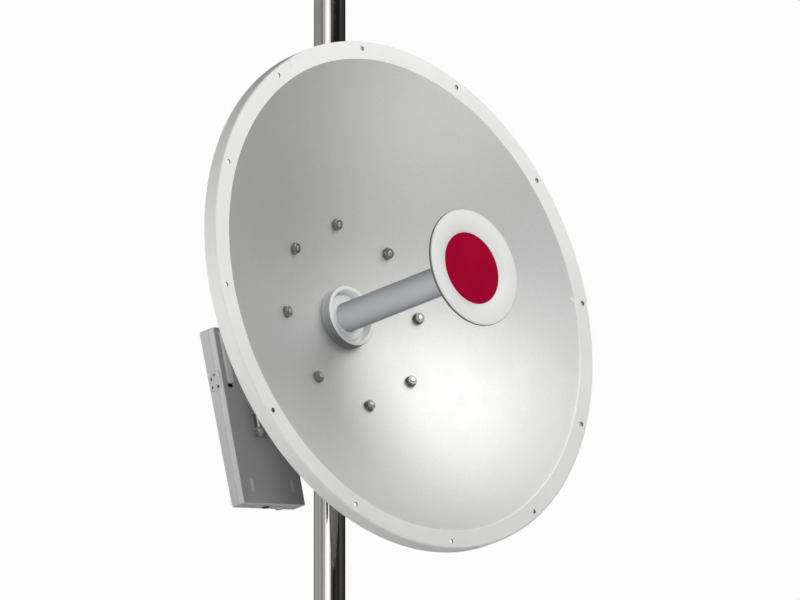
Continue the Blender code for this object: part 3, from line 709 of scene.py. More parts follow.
class ANTENNA_OT_reflector(Operator):
    """Spins the bowl with its flat rim, its skirt and hem, and drills its holes"""

    bl_idname = "antenna.reflector"
    bl_label = "Reflector"

    def execute(self, context):
        dish = context.scene.antenna_dish
        rim, skirt, sheet, steps = dish.rim_radius, dish.skirt, dish.sheet, 44
        hem = rim - 0.0042
        reach = dish.bowl_radius - dish.feed_hole
        radii = [dish.feed_hole + reach * step / steps for step in range(steps + 1)]
        back = [bowl_point(radius, sheet) for radius in reversed(radii[:-1])]
        back[-1] = (dish.feed_hole, back[-1][1])
        profile = [bowl_point(radius, 0.0) for radius in radii]
        profile += [
            (rim, 0.0), (rim, skirt), (hem, skirt), (hem, skirt - 0.0060), (rim - sheet, skirt - 0.0070),
            (rim - sheet, sheet), (dish.bowl_radius + 0.0022, sheet), *back,
        ]
        rounds = [
            (0, 0.0016, 3), (1, dish.rim_round, 5), (2, 0.0009, 3), (3, 0.0009, 3), (4, 0.0006, 2),
            (6, 0.0010, 3), (7, 0.0010, 3),
        ]
        shell = spun(profile, 216, [(steps + corner, width, count) for corner, width, count in rounds])
        hole, wide = dish.hole_radius, dish.hole_radius + 0.0023
        mouth = [
            (0.0, -0.002), (wide, -0.002), (hole, 0.0003), (hole, sheet - 0.0003), (wide, sheet + 0.002),
            (0.0, sheet + 0.002),
        ]
        spots = [on_circle(dish.hole_circle, angle) for angle in around(dish.holes)]
        holes = [moved(spun(mouth, 28), Matrix.Translation(spot)) for spot in spots]
        shell = carved(shell, merged(holes + [bolt_holes(-0.004, 0.006)]))
        limit = dish.bowl_radius - 0.0003

        def in_bowl(middle, normal):
            radius = off_axis(middle)
            return radius < limit and abs(middle.y - bowl_point(radius, 0.0)[1]) < 0.0007

        def hole_wall_in_painted_shade(middle, normal):
            wall = off_axis(middle) > limit and abs(normal.y) < 0.9 and 0.0001 < middle.y < sheet
            return wall and min(off_axis(middle - spot) for spot in spots) < hole + 0.0005

        paint(shell, 1, in_bowl)
        # Painted shade: the walls of the rim holes are near-black
        paint(shell, 2, hole_wall_in_painted_shade)
        looks = [
            powder_coat("rim powder coat", dish.rim_colour, 0.42, DISH, peel=0.00007),
            bowl_coat("spun bowl coat", dish.bowl_colour),
            powder_coat("painted_shade_black in the rim holes", (0.05, 0.05, 0.05), 0.7, DISH),
        ]
        add_piece("reflector_shell", shell, looks, ["dish_reflector"])
        return {"FINISHED"}


class ANTENNA_OT_back_plate(Operator):
    """Presses the pan that stiffens the reflector's back, with its raised ring"""

    bl_idname = "antenna.back_plate"
    bl_label = "Back plate"

    def execute(self, context):
        dish = context.scene.antenna_dish
        front, back = dish.sheet + GAP, dish.pan_back
        flat = back - PAN_SKIN
        land = [0.137, 0.1275, 0.118]
        raised = [(0.1035, 0.0), (0.1010, 0.0019), (0.0960, 0.0019), (0.0935, 0.0)]
        profile = [bowl_point(radius, front) for radius in land] + [(0.108, flat)]
        profile += [(radius, flat + rise) for radius, rise in raised] + [(0.035, flat), (0.035, back)]
        profile += [(radius, back + rise) for radius, rise in reversed(raised)] + [(0.110, back)]
        profile += [bowl_point(radius, front + PAN_SKIN) for radius in reversed(land)]
        rounds = [(3, 0.0016, 3), (2, 0.0012, 2), (14, 0.0030, 4), (15, 0.0020, 3)]
        rounds += [(corner, 0.0009, 2) for corner in (4, 5, 6, 7, 10, 11, 12, 13)]
        rounds += [(8, 0.0005, 2), (9, 0.0005, 2), (0, 0.0006, 2), (17, 0.0006, 2)]
        pan = carved(spun(profile, 144, rounds), bolt_holes(-0.002, 0.010))
        coat = powder_coat("pan powder coat", context.scene.antenna_mount.paint, 0.46, DISH)
        add_piece("back_plate_pan", pan, [coat], ["back_plate"])
        return {"FINISHED"}


class ANTENNA_OT_reflector_bolts(Operator):
    """Puts the ring of hexagon bolts through the bowl and the back plate"""

    bl_idname = "antenna.reflector_bolts"
    bl_label = "Reflector bolts"

    def execute(self, context):
        dish = context.scene.antenna_dish
        zinc = context.scene.antenna_mount.zinc
        # Lit and shaded copies of one zinc: the darker look is painted shade on the bolts, the brighter look
        # a painted highlight
        looks = [
            plated("dull zinc of reflector bolts", [tone * 0.62 for tone in zinc], 0.38),
            plated("bright zinc of reflector bolts", [tone * 1.75 for tone in zinc], 0.30),
        ]
        # A thin boss on each head's face, which carries the painted highlight
        highlight_boss = rod(0.0033, -0.0077, -0.0066, 32, [(1, 0.0008, 4)])
        paint(highlight_boss, 1, lambda middle, normal: True)
        model = merged([fastener(BOLTS["reflector"], dish.sheet + PAN_SKIN + 3 * GAP), highlight_boss])
        for (number, made), (seat, normal) in zip(copies(model, dish.bolts, 17.0), bolt_seats()):
            moved(made, aimed(seat - GAP * normal, normal))
            add_piece(f"hex_bolt_{number}", made, looks, [f"reflector_bolt_{number}"])
        return {"FINISHED"}


# The feed

class ANTENNA_OT_collar(Operator):
    """Turns the collar in the bowl's centre, with its lip, its cup and painted shade in grey round its wall
    """

    bl_idname = "antenna.collar"
    bl_label = "Feed collar"

    def execute(self, context):
        feed = context.scene.antenna_feed
        bore, radius, front = feed.tube_radius + GAP, feed.collar_radius, feed.collar_front
        under = [bowl_point(place, -GAP) for place in (bore, 0.028, 0.036, radius)]
        profile = [
            (bore, under[0][1]), *under[1:],
            (radius, front + 0.0105), (radius - 0.0010, front + 0.0098), (radius - 0.0010, front),
            (0.0358, front), (0.0352, 0.1170), (0.0322, 0.1170), (0.0314, 0.1142), (0.0234, 0.1148),
            (0.0220, 0.1128), (bore, 0.1126),
        ]
        rounds = [
            (4, 0.0004, 2), (5, 0.0004, 2), (6, 0.0017, 5), (7, 0.0011, 4), (8, 0.0009, 3),
            (9, 0.0007, 2), (10, 0.0012, 3), (11, 0.0012, 3), (12, 0.0006, 2), (13, 0.0004, 2),
        ]
        collar = spun(profile, 120, rounds)

        # Painted shade: the wall takes the painted shade grey
        def wall_in_painted_shade(middle, normal):
            return off_axis(middle) > radius - 0.0014 and middle.y > front + 0.0009

        paint(collar, 1, wall_in_painted_shade)
        looks = [
            moulded("collar plastic", feed.white, 0.34, grain=0.00003, swing=0.02),
            # Painted shadow: the wall gets darker still towards its bottom
            moulded("collar seal", feed.painted_shade_grey, 0.55, grain=0.00008, fade=("Z", 0.020, -0.036, 0.32)),
        ]
        add_piece("feed_collar_ring", collar, looks, ["feed_collar"])
        return {"FINISHED"}


class ANTENNA_OT_tube(Operator):
    """Turns the feed tube between the collar and the subreflector"""

    bl_idname = "antenna.tube"
    bl_label = "Feed tube"

    def execute(self, context):
        feed, dish = context.scene.antenna_feed, context.scene.antenna_dish
        bore, radius, front = feed.tube_bore, feed.tube_radius, feed.tube_front
        end = dish.bowl_depth + dish.sheet
        profile = [(bore, front), (bore, end), (radius, end), (radius, front)]
        tube = spun(profile, 96, [(2, 0.0004, 2), (3, 0.0006, 3), (0, 0.0004, 2)])
        coat = tube_coat("tube coat", feed.tube_colour)
        add_piece("feed_tube_coated", tube, [coat], ["feed_tube"])
        return {"FINISHED"}


class ANTENNA_OT_cone(Operator):
    """Turns the plug and cone that carry the subreflector"""

    bl_idname = "antenna.cone"
    bl_label = "Feed cone"

    def execute(self, context):
        feed = context.scene.antenna_feed
        plug, front = feed.tube_bore - GAP, feed.tube_front
        profile = [
            (0.0, front + 0.010), (plug, front + 0.010), (plug, front - GAP),
            (feed.tube_radius + 0.001, front - GAP), (0.0232, front - 0.0028), (0.0300, -0.1050),
            (0.0380, -0.1102), (0.0460, -0.1143), (0.0460, CONE_FRONT), (0.0, CONE_FRONT),
        ]
        cone = spun(profile, 96, [(1, 0.0010, 2), (3, 0.0006, 3), (4, 0.0008, 3), (7, 0.0004, 2)])
        white = moulded("cone plastic", feed.white, 0.36, grain=0.00003)
        add_piece("feed_cone_moulded", cone, [white], ["feed_cone"])
        return {"FINISHED"}


class ANTENNA_OT_subreflector(Operator):
    """Turns the subreflector with its rolled lip and its shallow dished face"""

    bl_idname = "antenna.subreflector"
    bl_label = "Subreflector"

    def execute(self, context):
        feed = context.scene.antenna_feed
        radius, lip, face, disc = feed.sub_radius, feed.sub_lip, feed.disc_front, feed.disc_radius
        back, floor, steps = CONE_FRONT - GAP, face + DISC_SEAT, 12
        outer, inner = radius - 0.0066, disc + 0.0012
        profile = [
            (0.0, back), (0.050, back), (0.074, lip + 0.0080), (radius, lip + 0.0056),
            (radius - 0.0002, lip + 0.0002), (outer, lip),
        ]
        for step in range(1, steps + 1):
            part = step / steps
            profile.append((outer + (inner - outer) * part, lip + (face - lip) * part**2.7))
        profile += [(disc + GAP, face + 0.0004), (disc + GAP, floor), (0.0, floor)]
        rounds = [(1, 0.0020, 3), (2, 0.0020, 3), (3, 0.0016, 4), (4, 0.0028, 7), (17, 0.0003, 2)]
        plate = spun(profile, 144, rounds)

        # Painted shade: the rolled edge behind the lip takes a dark grey for the shadow under it
        def edge_in_painted_shade(middle, normal):
            return off_axis(middle) > radius - 0.0050 and middle.y > lip + 0.0016

        paint(plate, 1, edge_in_painted_shade)
        looks = [
            moulded("subreflector plastic", feed.white, 0.34, grain=0.00002, swing=0.015),
            moulded("subreflector seal", [tone * 0.30 for tone in feed.painted_shade_grey], 0.55, grain=0.00008),
        ]
        add_piece("subreflector_plate", plate, looks, ["subreflector"])
        return {"FINISHED"}


class ANTENNA_OT_centre_disc(Operator):
    """Turns the plain crimson disc that is let into the subreflector"""

    bl_idname = "antenna.centre_disc"
    bl_label = "Centre disc"

    def execute(self, context):
        feed = context.scene.antenna_feed
        front, radius = feed.disc_front, feed.disc_radius
        floor = front + DISC_SEAT - GAP
        profile = [
            (0.0, front - 0.0004), (0.020, front - 0.0004), (0.040, front - 0.0003),
            (radius, front - 0.0002), (radius, floor), (0.0, floor),
        ]
        disc = spun(profile, 120, [(3, 0.0004, 3), (4, 0.0003, 2)])
        red = disc_plastic("crimson plastic", feed.disc_colour)
        add_piece("centre_disc_plain", disc, [red], ["centre_disc"])
        return {"FINISHED"}


class ANTENNA_OT_housing(Operator):
    """Makes the feed housing behind the bowl, its four screws and its two threaded sockets"""

    bl_idname = "antenna.housing"
    bl_label = "Feed housing"

    def execute(self, context):
        feed, dish = context.scene.antenna_feed, context.scene.antenna_dish
        front, back = dish.bowl_depth + dish.sheet + GAP, feed.housing_back
        profile = [
            (0.0, front), (0.033, front), (0.033, front + 0.003), (0.0272, front + 0.0036),
            (0.0270, back), (0.0, back),
        ]
        body = spun(profile, 96, [(1, 0.0004, 2), (2, 0.0008, 3), (3, 0.0012, 3), (4, 0.0018, 4)])
        recesses, screws = [], []
        for angle in around(4, 45.0):
            spot = Matrix.Translation(on_circle(0.0205, angle))
            recesses.append(moved(rod(0.0032, back - 0.0012, back + 0.001), spot))
            foot, top = back - 0.0011, back + 0.0006
            screw = spun([(0.0, foot), (0.0027, foot), (0.0027, back + 0.0002), (0.0, top)], 24)
            key = moved(hexagon(0.0022, 0.002, 0.0001), shift(0.0, back - 0.0008, 0.0))
            screws.append(moved(carved(screw, key), spot))
        body = carved(body, merged(recesses))
        grey = moulded("housing cast grain", feed.housing_colour, 0.50, grain=0.00009, grain_scale=900.0)
        add_piece("feed_housing_cast", body, [grey], ["feed_housing"])
        zinc = plated("zinc of housing screws", context.scene.antenna_mount.zinc)
        add_piece("housing_screws", merged(screws), [zinc])
        nickel = plated("socket plating", (0.66, 0.64, 0.58), 0.24)
        ptfe = moulded("socket insulator", (0.75, 0.75, 0.72), 0.4)
        for node, x in (("feed_socket_left", -0.0125), ("feed_socket_right", 0.0125)):
            socket, insulator = self.socket(back + GAP)
            place = shift(x, 0.0, 0.0)
            add_piece(f"{node}_plated", moved(socket, place), [nickel], [node])
            add_piece(f"{node}_insulator", moved(insulator, place), [ptfe])
        return {"FINISHED"}

    def socket(self, base):
        """A threaded socket with its pin, and its insulator."""
        flange = moved(hexagon(0.0165, 0.004, 0.0009), shift(0.0, base, 0.0))
        mouth, root, crest = 0.0052, 0.0070, 0.0077
        shell = [(mouth, base + 0.0155), (mouth, base + 0.018), (0.0068, base + 0.018)]
        place = base + 0.0172
        while place > base + 0.0058:
            shell += [(crest, place), (crest, place - 0.0002), (root, place - 0.0006), (root, place - 0.0007)]
            place -= 0.0010
        shell += [(root, base + 0.0042), (0.0, base + 0.0042), (0.0, base + 0.0155)]
        barrel = spun(list(reversed(shell)), 48)
        foot = base + 0.0156
        pin = spun([(0.0, foot), (0.0009, foot), (0.0009, base + 0.0172), (0.0, base + 0.0176)], 16)
        return merged([flange, barrel, pin]), ring(0.0011, 0.0046, base + 0.01555, base + 0.0164, 24)


# The mount

class ANTENNA_OT_tilt_bracket(Operator):
    """Finishes the bracket on the dish's back, its weld and its lock bolt"""

    bl_idname = "antenna.tilt_bracket"
    bl_label = "Tilt bracket"

    def execute(self, context):
        mount, dish = context.scene.antenna_mount, context.scene.antenna_dish
        coat = powder_coat("tilt bracket coat", mount.paint)
        plate = softened("tilt_bracket", mount.edge)
        add_piece("tilt_bracket_plate", plate, [coat], ["tilt_bracket"], place=WORLD)
        inner = PIVOT_X - DISH.to_translation().x - GAP - mount.plate
        x, y = inner - 0.0004, dish.pan_back + GAP + mount.plate + 0.0004
        bead = weld((x, y, -0.050), (x, y, 0.047))
        add_piece("tilt_bracket_weld", bead, [coat], sharp=60.0)
        zinc = plated("zinc of lock bolt", mount.zinc)
        lock = fastener(BOLTS["lock"], 2 * mount.plate + 3 * GAP)
        moved(lock, aimed((inner - GAP, PIVOT_BACK, PIVOT_UP - mount.lock_radius), (1.0, 0.0, 0.0)))
        add_piece("tilt_lock_fastener", lock, [zinc], ["tilt_lock_bolt"])
        return {"FINISHED"}


class ANTENNA_OT_pole_bracket(Operator):
    """Finishes the bracket on the mast, its weld and the pivot bolt"""

    bl_idname = "antenna.pole_bracket"
    bl_label = "Pole bracket"

    def execute(self, context):
        mount = context.scene.antenna_mount
        coat = powder_coat("pole bracket coat", mount.paint)
        plate = softened("pole_bracket", mount.edge)
        add_piece("pole_bracket_plate", plate, [coat], ["pole_bracket"], "mount", WORLD)
        x, y = PIVOT_X + mount.plate + 0.0004, -mount.bracket_front - 0.0004
        bead = weld((x, y, -0.074), (x, y, 0.020))
        add_piece("pole_bracket_weld", bead, [coat], (), "mount", MOUNT, sharp=60.0)
        zinc = plated("zinc of pivot bolt", mount.zinc, place=MOUNT)
        pin = fastener(BOLTS["pivot"], 2 * mount.plate + 3 * GAP)
        moved(pin, aimed((PIVOT_X - mount.plate - 2 * GAP, PIVOT_Y, 0.0), (1.0, 0.0, 0.0)))
        add_piece("pivot_fastener", pin, [zinc], ["pivot_bolt"], "mount", MOUNT)
        return {"FINISHED"}


class ANTENNA_OT_clamps(Operator):
    """Finishes the two clamp jaws and their four long bolts"""

    bl_idname = "antenna.clamps"
    bl_label = "Clamps"

    def execute(self, context):
        mount = context.scene.antenna_mount
        coat = powder_coat("clamp coat", mount.paint)
        for node in ("clamp_jaw_upper", "clamp_jaw_lower"):
            made = softened(node, 0.0005)
            add_piece(f"{node}_plate", made, [coat], [node], "mount", WORLD)
        zinc = plated("zinc of clamp bolts", mount.zinc, place=MOUNT)
        model = fastener(BOLTS["clamp"], mount.bracket_front + mount.jaw_back + 2 * GAP)
        middle = (mount.bracket_top - mount.bracket_foot) / 2.0
        corners = [(side, level) for level in (1.0, -1.0) for side in (-1.0, 1.0)]
        for (number, made), (side, level) in zip(copies(model, 4, 23.0), corners):
            x, z = side * mount.clamp_x, middle + level * mount.clamp_z
            moved(made, shift(x, -mount.bracket_front - GAP, z))
            nodes = [f"clamp_bolt_{number}"]
            add_piece(f"clamp_fastener_{number}", made, [zinc], nodes, "mount", MOUNT)
        return {"FINISHED"}


class ANTENNA_OT_radio_arm(Operator):
    """Finishes the arm and clip that carry the radio case, their cross bolt and the side pin"""

    bl_idname = "antenna.radio_arm"
    bl_label = "Radio arm"

    # The side pin's axis, its upper end and how long it is between its washers
    pin_x, pin_y, pin_top, pin_grip = -0.1465, 0.1690, -0.1190, 0.0253

    def execute(self, context):
        mount = context.scene.antenna_mount
        down = (0.0, 0.0, -1.0)
        # The clip's darker coat is painted shade for the dish's shadow
        for node, width, tone in (("radio_arm", 0.0006, mount.paint), ("radio_clip", 0.0005, mount.clip)):
            coat = powder_coat(f"{node} coat", tone)
            made = softened(node, width)
            if node == "radio_clip":
                made = merged([made, moved(self.lugs(down), DISH)])
            add_piece(f"{node}_plate", made, [coat], [node], place=WORLD)
        zinc = plated("zinc of clip bolt", mount.zinc, 0.30)
        ear = 0.0035
        grip = 2.0 * (mount.plate / 2.0 + GAP + ear + GAP)
        bolt = moved(fastener(BOLTS["clip"], grip), aimed((-0.1335, 0.164, -0.133 + grip / 2.0), down))
        add_piece("clip_fastener", bolt, [zinc], ["radio_clip_bolt"])
        pin = fastener(BOLTS["side pin"], self.pin_grip)
        moved(pin, aimed((self.pin_x, self.pin_y, self.pin_top), down))
        add_piece("clip_stay_pin", pin, [zinc])
        return {"FINISHED"}

    def lugs(self, down):
        """Two lugs on the clip's edge that hold its side pin."""
        parts = []
        for top in (self.pin_top - GAP, self.pin_top - self.pin_grip + 0.0030 + GAP):
            low = (self.pin_x - 0.0042, self.pin_y - 0.0048, top - 0.0028)
            lug = block(low, (self.pin_x + 0.0038, 0.1772, top))
            parts.append(bevelled(lug, sharp_edges(lug), 0.0005))
        hole = moved(rod(0.0031, -0.005, 0.035), aimed((self.pin_x, self.pin_y, self.pin_top), down))
        return carved(merged(parts), hole)


# The radio case

def slab(case, depth_low, depth_high):
    """A block of the case's outline between two depths behind its face."""
    half_w, half_h = case.width / 2.0, case.height / 2.0
    low = (case.middle_x - half_w, case.face + depth_low, case.middle_z - half_h)
    return block(low, (case.middle_x + half_w, case.face + depth_high, case.middle_z + half_h))


def along_y(bm):
    return [edge for edge in bm.edges if abs((edge.verts[0].co - edge.verts[1].co).normalized().y) > 0.99]


def at_depth(bm, depth):
    return [edge for edge in bm.edges if all(abs(vert.co.y - depth) < 1e-5 for vert in edge.verts)]


class ANTENNA_OT_radio_case(Operator):
    """Moulds the radio case: base with its ribs, cover, side latch and the two rails"""

    bl_idname = "antenna.radio_case"
    bl_label = "Radio case"

    def execute(self, context):
        case = context.scene.antenna_case
        fine = {"grain": 0.00005, "grain_scale": 1100.0}
        grey = moulded("case plastic", case.plastic, 0.46, **fine)
        # Painted shade: the face is darker plastic for the dish's shadow, and darkens further towards the
        # right
        fade = ("X", case.middle_x - 0.030, case.middle_x + 0.058, 0.56)
        face_painted_shade = moulded("case face plastic", case.front, 0.52, grain=0.00007, grain_scale=1000.0, fade=fade)
        # Near-black painted shade for the pockets under the rails and the floors of the latch's holes
        black = moulded("case pocket plastic", context.scene.antenna_mast.cap, 0.6)
        # The ribs take the face's painted shade, made 1.4 times lighter
        pale = moulded("rib plastic", [tone * 1.4 for tone in case.front], 0.46, fade=fade)
        cover = moulded("cover plastic", [tone * 0.90 for tone in case.plastic], 0.46, **fine)
        rail = moulded("rail plastic", case.rail, 0.42)
        add_piece("case_base_moulded", self.base(case), [grey, face_painted_shade, black], ["case_base"])
        add_piece("case_ribs", self.ribs(case), [pale])
        add_piece("case_cover_moulded", self.cover(case), [cover], ["case_cover"])
        for side, x in (("left", case.middle_x - RAIL_X), ("right", case.middle_x + RAIL_X)):
            bar = self.rail(case.face - GAP, x)
            add_piece(f"rail_{side}", bar, [rail], [f"case_rail_{side}"])
        add_piece("side_latch", self.latch(case), [grey, black], ["case_latch"])
        return {"FINISHED"}

    def base(self, case):
        """The base, its face darkened as painted shade and a pocket under each rail in black painted shade.
        """
        face, foot, top = case.face, -0.0838, -0.0788
        base = slab(case, 0.0, case.base)
        bevelled(base, along_y(base), 0.0022, 5)
        bevelled(base, at_depth(base, face), 0.0012, 3)
        bevelled(base, at_depth(base, face + case.base), 0.0003, 1)
        pockets = []
        for x in (case.middle_x - RAIL_X, case.middle_x + RAIL_X):
            pocket = block((x - 0.0045, face - 0.001, foot), (x + 0.0045, face + 0.004, top))
            pockets.append(bevelled(pocket, along_y(pocket), 0.0012, 3))
        base = carved(base, merged(pockets))

        def pocket_in_painted_shade(middle, normal):
            sideways = abs(abs(middle.x - case.middle_x) - RAIL_X)
            return middle.y < face + 0.0045 and foot - 0.0005 < middle.z < top + 0.0005 and sideways < 0.0050

        # Painted shade: the face towards the dish takes the darker look, and the pockets near-black
        paint(base, 1, lambda middle, normal: normal.y < -0.9)
        paint(base, 2, pocket_in_painted_shade)
        return base

    def ribs(self, case):
        """The two raised marks near the foot of the face."""
        marks = []
        for x in (case.middle_x - MARK_X, case.middle_x + MARK_X):
            low, high = (x - 0.0022, case.face - 0.0017, -0.2270), (x + 0.0022, case.face - 0.0001, -0.2090)
            mark = block(low, high)
            marks.append(bevelled(mark, sharp_edges(mark), 0.0008, 3))
        return merged(marks)

    def cover(self, case):
        """The cover: sides that get deeper towards the top, and a back that is drawn in."""
        cover = slab(case, case.base + GAP, case.side + case.taper)
        for vert in cover.verts:
            if vert.co.y > case.face + case.side and vert.co.z > case.middle_z:
                vert.co.y += case.taper
        bmesh.ops.recalc_face_normals(cover, faces=cover.faces)
        back = [item for item in cover.faces if item.normal.y > 0.9]
        verts = extruded(cover, back)
        bmesh.ops.delete(cover, geom=back, context="FACES")
        for vert in verts:
            vert.co.y = case.face + case.deep
        shrink = (1.0 - 2.0 * case.slope / case.width, 1.0, 1.0 - 2.0 * case.slope / case.height)
        bmesh.ops.scale(cover, verts=verts, vec=shrink, space=shift(-case.middle_x, 0.0, -case.middle_z))
        seam = case.face + case.base + GAP
        outer = [edge for edge in sharp_edges(cover, 15.0) if edge not in at_depth(cover, seam)]
        bevelled(cover, outer, 0.0021, 4)
        return bevelled(cover, at_depth(cover, seam), 0.0003, 1)

    def rail(self, back, x):
        """A bar with a round foot that stands on the face."""
        half, thick = 0.0050, 0.004
        outline = arc((x, -0.0735), half, 180.0, 360.0, 24) + [(x + half, -0.0080), (x - half, -0.0080)]
        bar = prism(outline, "Y", back - thick, back)
        return bevelled(bar, at_depth(bar, back - thick), 0.0013, 4)

    def latch(self, case):
        """The side latch, with four holes whose floors are black painted shade."""
        outer, face, floor = case.middle_x - case.width / 2.0 - GAP, case.face, -0.0004
        outline = [
            (outer, face + 0.0030), (outer, face + 0.0208), (outer - 0.0034, face + 0.0208),
            (outer - 0.0042, face + 0.0180), (outer - 0.0016, face + 0.0110), (outer - 0.0010, face + 0.0034),
        ]
        latch = prism(outline, "Z", -0.0850, -0.0605)
        bevelled(latch, sharp_edges(latch, 20.0), 0.0004)
        holes = [
            # depth behind the face, height and radius
            (0.0118, -0.0640, 0.0017), (0.0172, -0.0692, 0.0023),
            (0.0080, -0.0808, 0.0022), (0.0172, -0.0806, 0.0021),
        ]
        drills = [
            moved(rod(radius, -0.004, floor, 20), aimed((outer, face + depth, z), (1.0, 0.0, 0.0)))
            for depth, z, radius in holes
        ]
        latch = carved(latch, merged(drills))

        # Painted shade: the floors of the holes are near-black
        def hole_floor_in_painted_shade(middle, normal):
            return abs(middle.x - outer - floor) < 0.00005 and -0.0830 < middle.z < -0.0615

        paint(latch, 1, hole_floor_in_painted_shade)
        return latch


class ANTENNA_OT_ports(Operator):
    """Turns the cable gland and the vent under the radio case"""

    bl_idname = "antenna.ports"
    bl_label = "Case ports"

    def execute(self, context):
        case = context.scene.antenna_case
        foot = case.middle_z - case.height / 2.0 - GAP
        depth, down = case.face + case.base + 0.0040, (0.0, 0.0, -1.0)
        radius = 0.0052
        profile = [
            (0.0, 0.0), (radius, 0.0), (radius, 0.0008), (0.0044, 0.0012), (0.0028, 0.0012),
            (0.0025, 0.0006), (0.0, 0.0006),
        ]
        gland = spun(profile, 48, [(2, 0.0003, 2), (3, 0.0002, 2), (4, 0.0002, 2)])
        spots = [Matrix.Translation(on_circle(radius, angle)) for angle in around(8)]
        gland = carved(gland, merged([moved(rod(0.0006, 0.0003, 0.0030, 12), spot) for spot in spots]))
        moved(gland, aimed((case.middle_x - 0.004, depth, foot), down))
        black = moulded("gland plastic", context.scene.antenna_mast.cap, 0.42)
        add_piece("cable_gland_fluted", gland, [black], ["cable_gland"])
        profile = [
            (0.0, 0.0), (0.0060, 0.0), (0.0060, 0.0020), (0.0046, 0.0028), (0.0022, 0.0028),
            (0.0018, 0.0016), (0.0, 0.0016),
        ]
        vent = spun(profile, 40, [(2, 0.0003, 2), (3, 0.0005, 2), (4, 0.0003, 2)])
        moved(vent, aimed((case.middle_x + 0.022, depth, foot), down))
        pale = moulded("vent plastic", case.rail, 0.45)
        add_piece("case_vent_disc", vent, [pale], ["case_vent"])
        return {"FINISHED"}


# The mast

class ANTENNA_OT_mast(Operator):
    """Draws the polished mast tube, its foot disc and its plastic cap"""

    bl_idname = "antenna.mast"
    bl_label = "Mast"

    def execute(self, context):
        mast = context.scene.antenna_mast
        radius, top = mast.radius, mast.height
        bore = radius - mast.wall
        both_ends = [(1, 0.0006, 2), (2, 0.0006, 2)]
        tube = spun([(bore, 0.0), (radius, 0.0), (radius, top), (bore, top)], 128, both_ends)
        steel = polished_steel("polished mast steel", mast.steel)
        add_piece("mast_tube", tube, [steel], ["mast_pole"], "mast", UPRIGHT)
        foot = rod(bore - GAP, 0.0, 0.006, 64, [(1, 0.0005, 2), (2, 0.0005, 2)])
        add_piece("mast_foot_plug", foot, [steel], ["mast_foot_disc"], "mast", UPRIGHT)
        inside, outside, over, skirt = radius + GAP, radius + 0.002, top + GAP, top - 0.014
        profile = [
            (0.0, over), (inside, over), (inside, skirt), (outside, skirt), (outside, over + 0.0040),
            (0.0, over + 0.0045),
        ]
        cap = spun(profile, 96, [(2, 0.0003, 1), (3, 0.0005, 2), (4, 0.0026, 5)])
        black = moulded("cap plastic", mast.cap, 0.48, None)
        add_piece("mast_cap_moulded", cap, [black], ["mast_top_cap"], "mast", UPRIGHT)
        return {"FINISHED"}


# The stage. Azimuth 0 is the way the dish looks and 90 is to its right.

LOBES = (
    # name, azimuth, elevation and strength
    ("behind left, low", -160.0, -30.0, 2.00),
    ("left, low", -120.0, -30.0, 2.10),
    ("front left, low", -40.0, -30.0, 0.23),
    ("front, low", 4.0, -33.0, 1.10),
    ("front right, low", 40.0, -30.0, 0.60),
)
LOBE_REACH, LOBE_CORE = math.radians(38.0), math.radians(5.0)
AMBIENT = 0.011
BOXES = (
    # name, azimuth, elevation, width, height and strength; the strips draw the bands on the mast
    ("strip 0", -182.0, 4.0, 1.30, 1.8, 0.45),
    ("strip 1", -150.0, 4.0, 2.10, 1.8, 0.48),
    ("strip 2", -115.0, 4.0, 1.85, 1.8, 0.35),
    ("strip 3", -90.5, 4.0, 1.10, 1.8, 0.92),
    ("strip 4", -74.0, 2.5, 0.76, 1.2, 2.35),
    ("strip 5", -60.0, 2.5, 0.70, 1.2, 3.25),
    ("strip 6", -47.0, 2.5, 0.64, 1.2, 1.80),
    ("strip 7", -31.0, 2.5, 0.90, 1.2, 0.12),
    ("strip 8", 70.0, 4.0, 2.4, 1.0, 0.06),
    ("high, front", -10.0, 40.0, 1.4, 1.4, 1.62),
    ("high, front right", 20.0, 50.0, 1.4, 1.4, 3.20),
    ("high, right", 45.0, 45.0, 1.4, 1.4, 1.30),
    ("high, far right", 65.0, 55.0, 1.4, 1.4, 1.15),
    ("front right", 20.0, 30.0, 1.2, 1.2, 1.95),
    ("right", 50.0, 25.0, 1.2, 1.2, 0.80),
    ("front, above", -20.0, 22.0, 1.5, 0.8, 1.60),
)
TINTS = {"front, above": (0.88, 0.94, 1.0), "high, front right": (1.0, 0.99, 0.965)}
BOX_DISTANCE = 3.0
BOX_AIM = Vector((-0.06, -0.25, 0.5))
SENSOR = 36.0
PICTURE_WIDTH = 800.0


def facing(azimuth, elevation):
    a, e = math.radians(azimuth), math.radians(elevation)
    return Vector((math.sin(a) * math.cos(e), -math.cos(a) * math.cos(e), math.sin(e)))


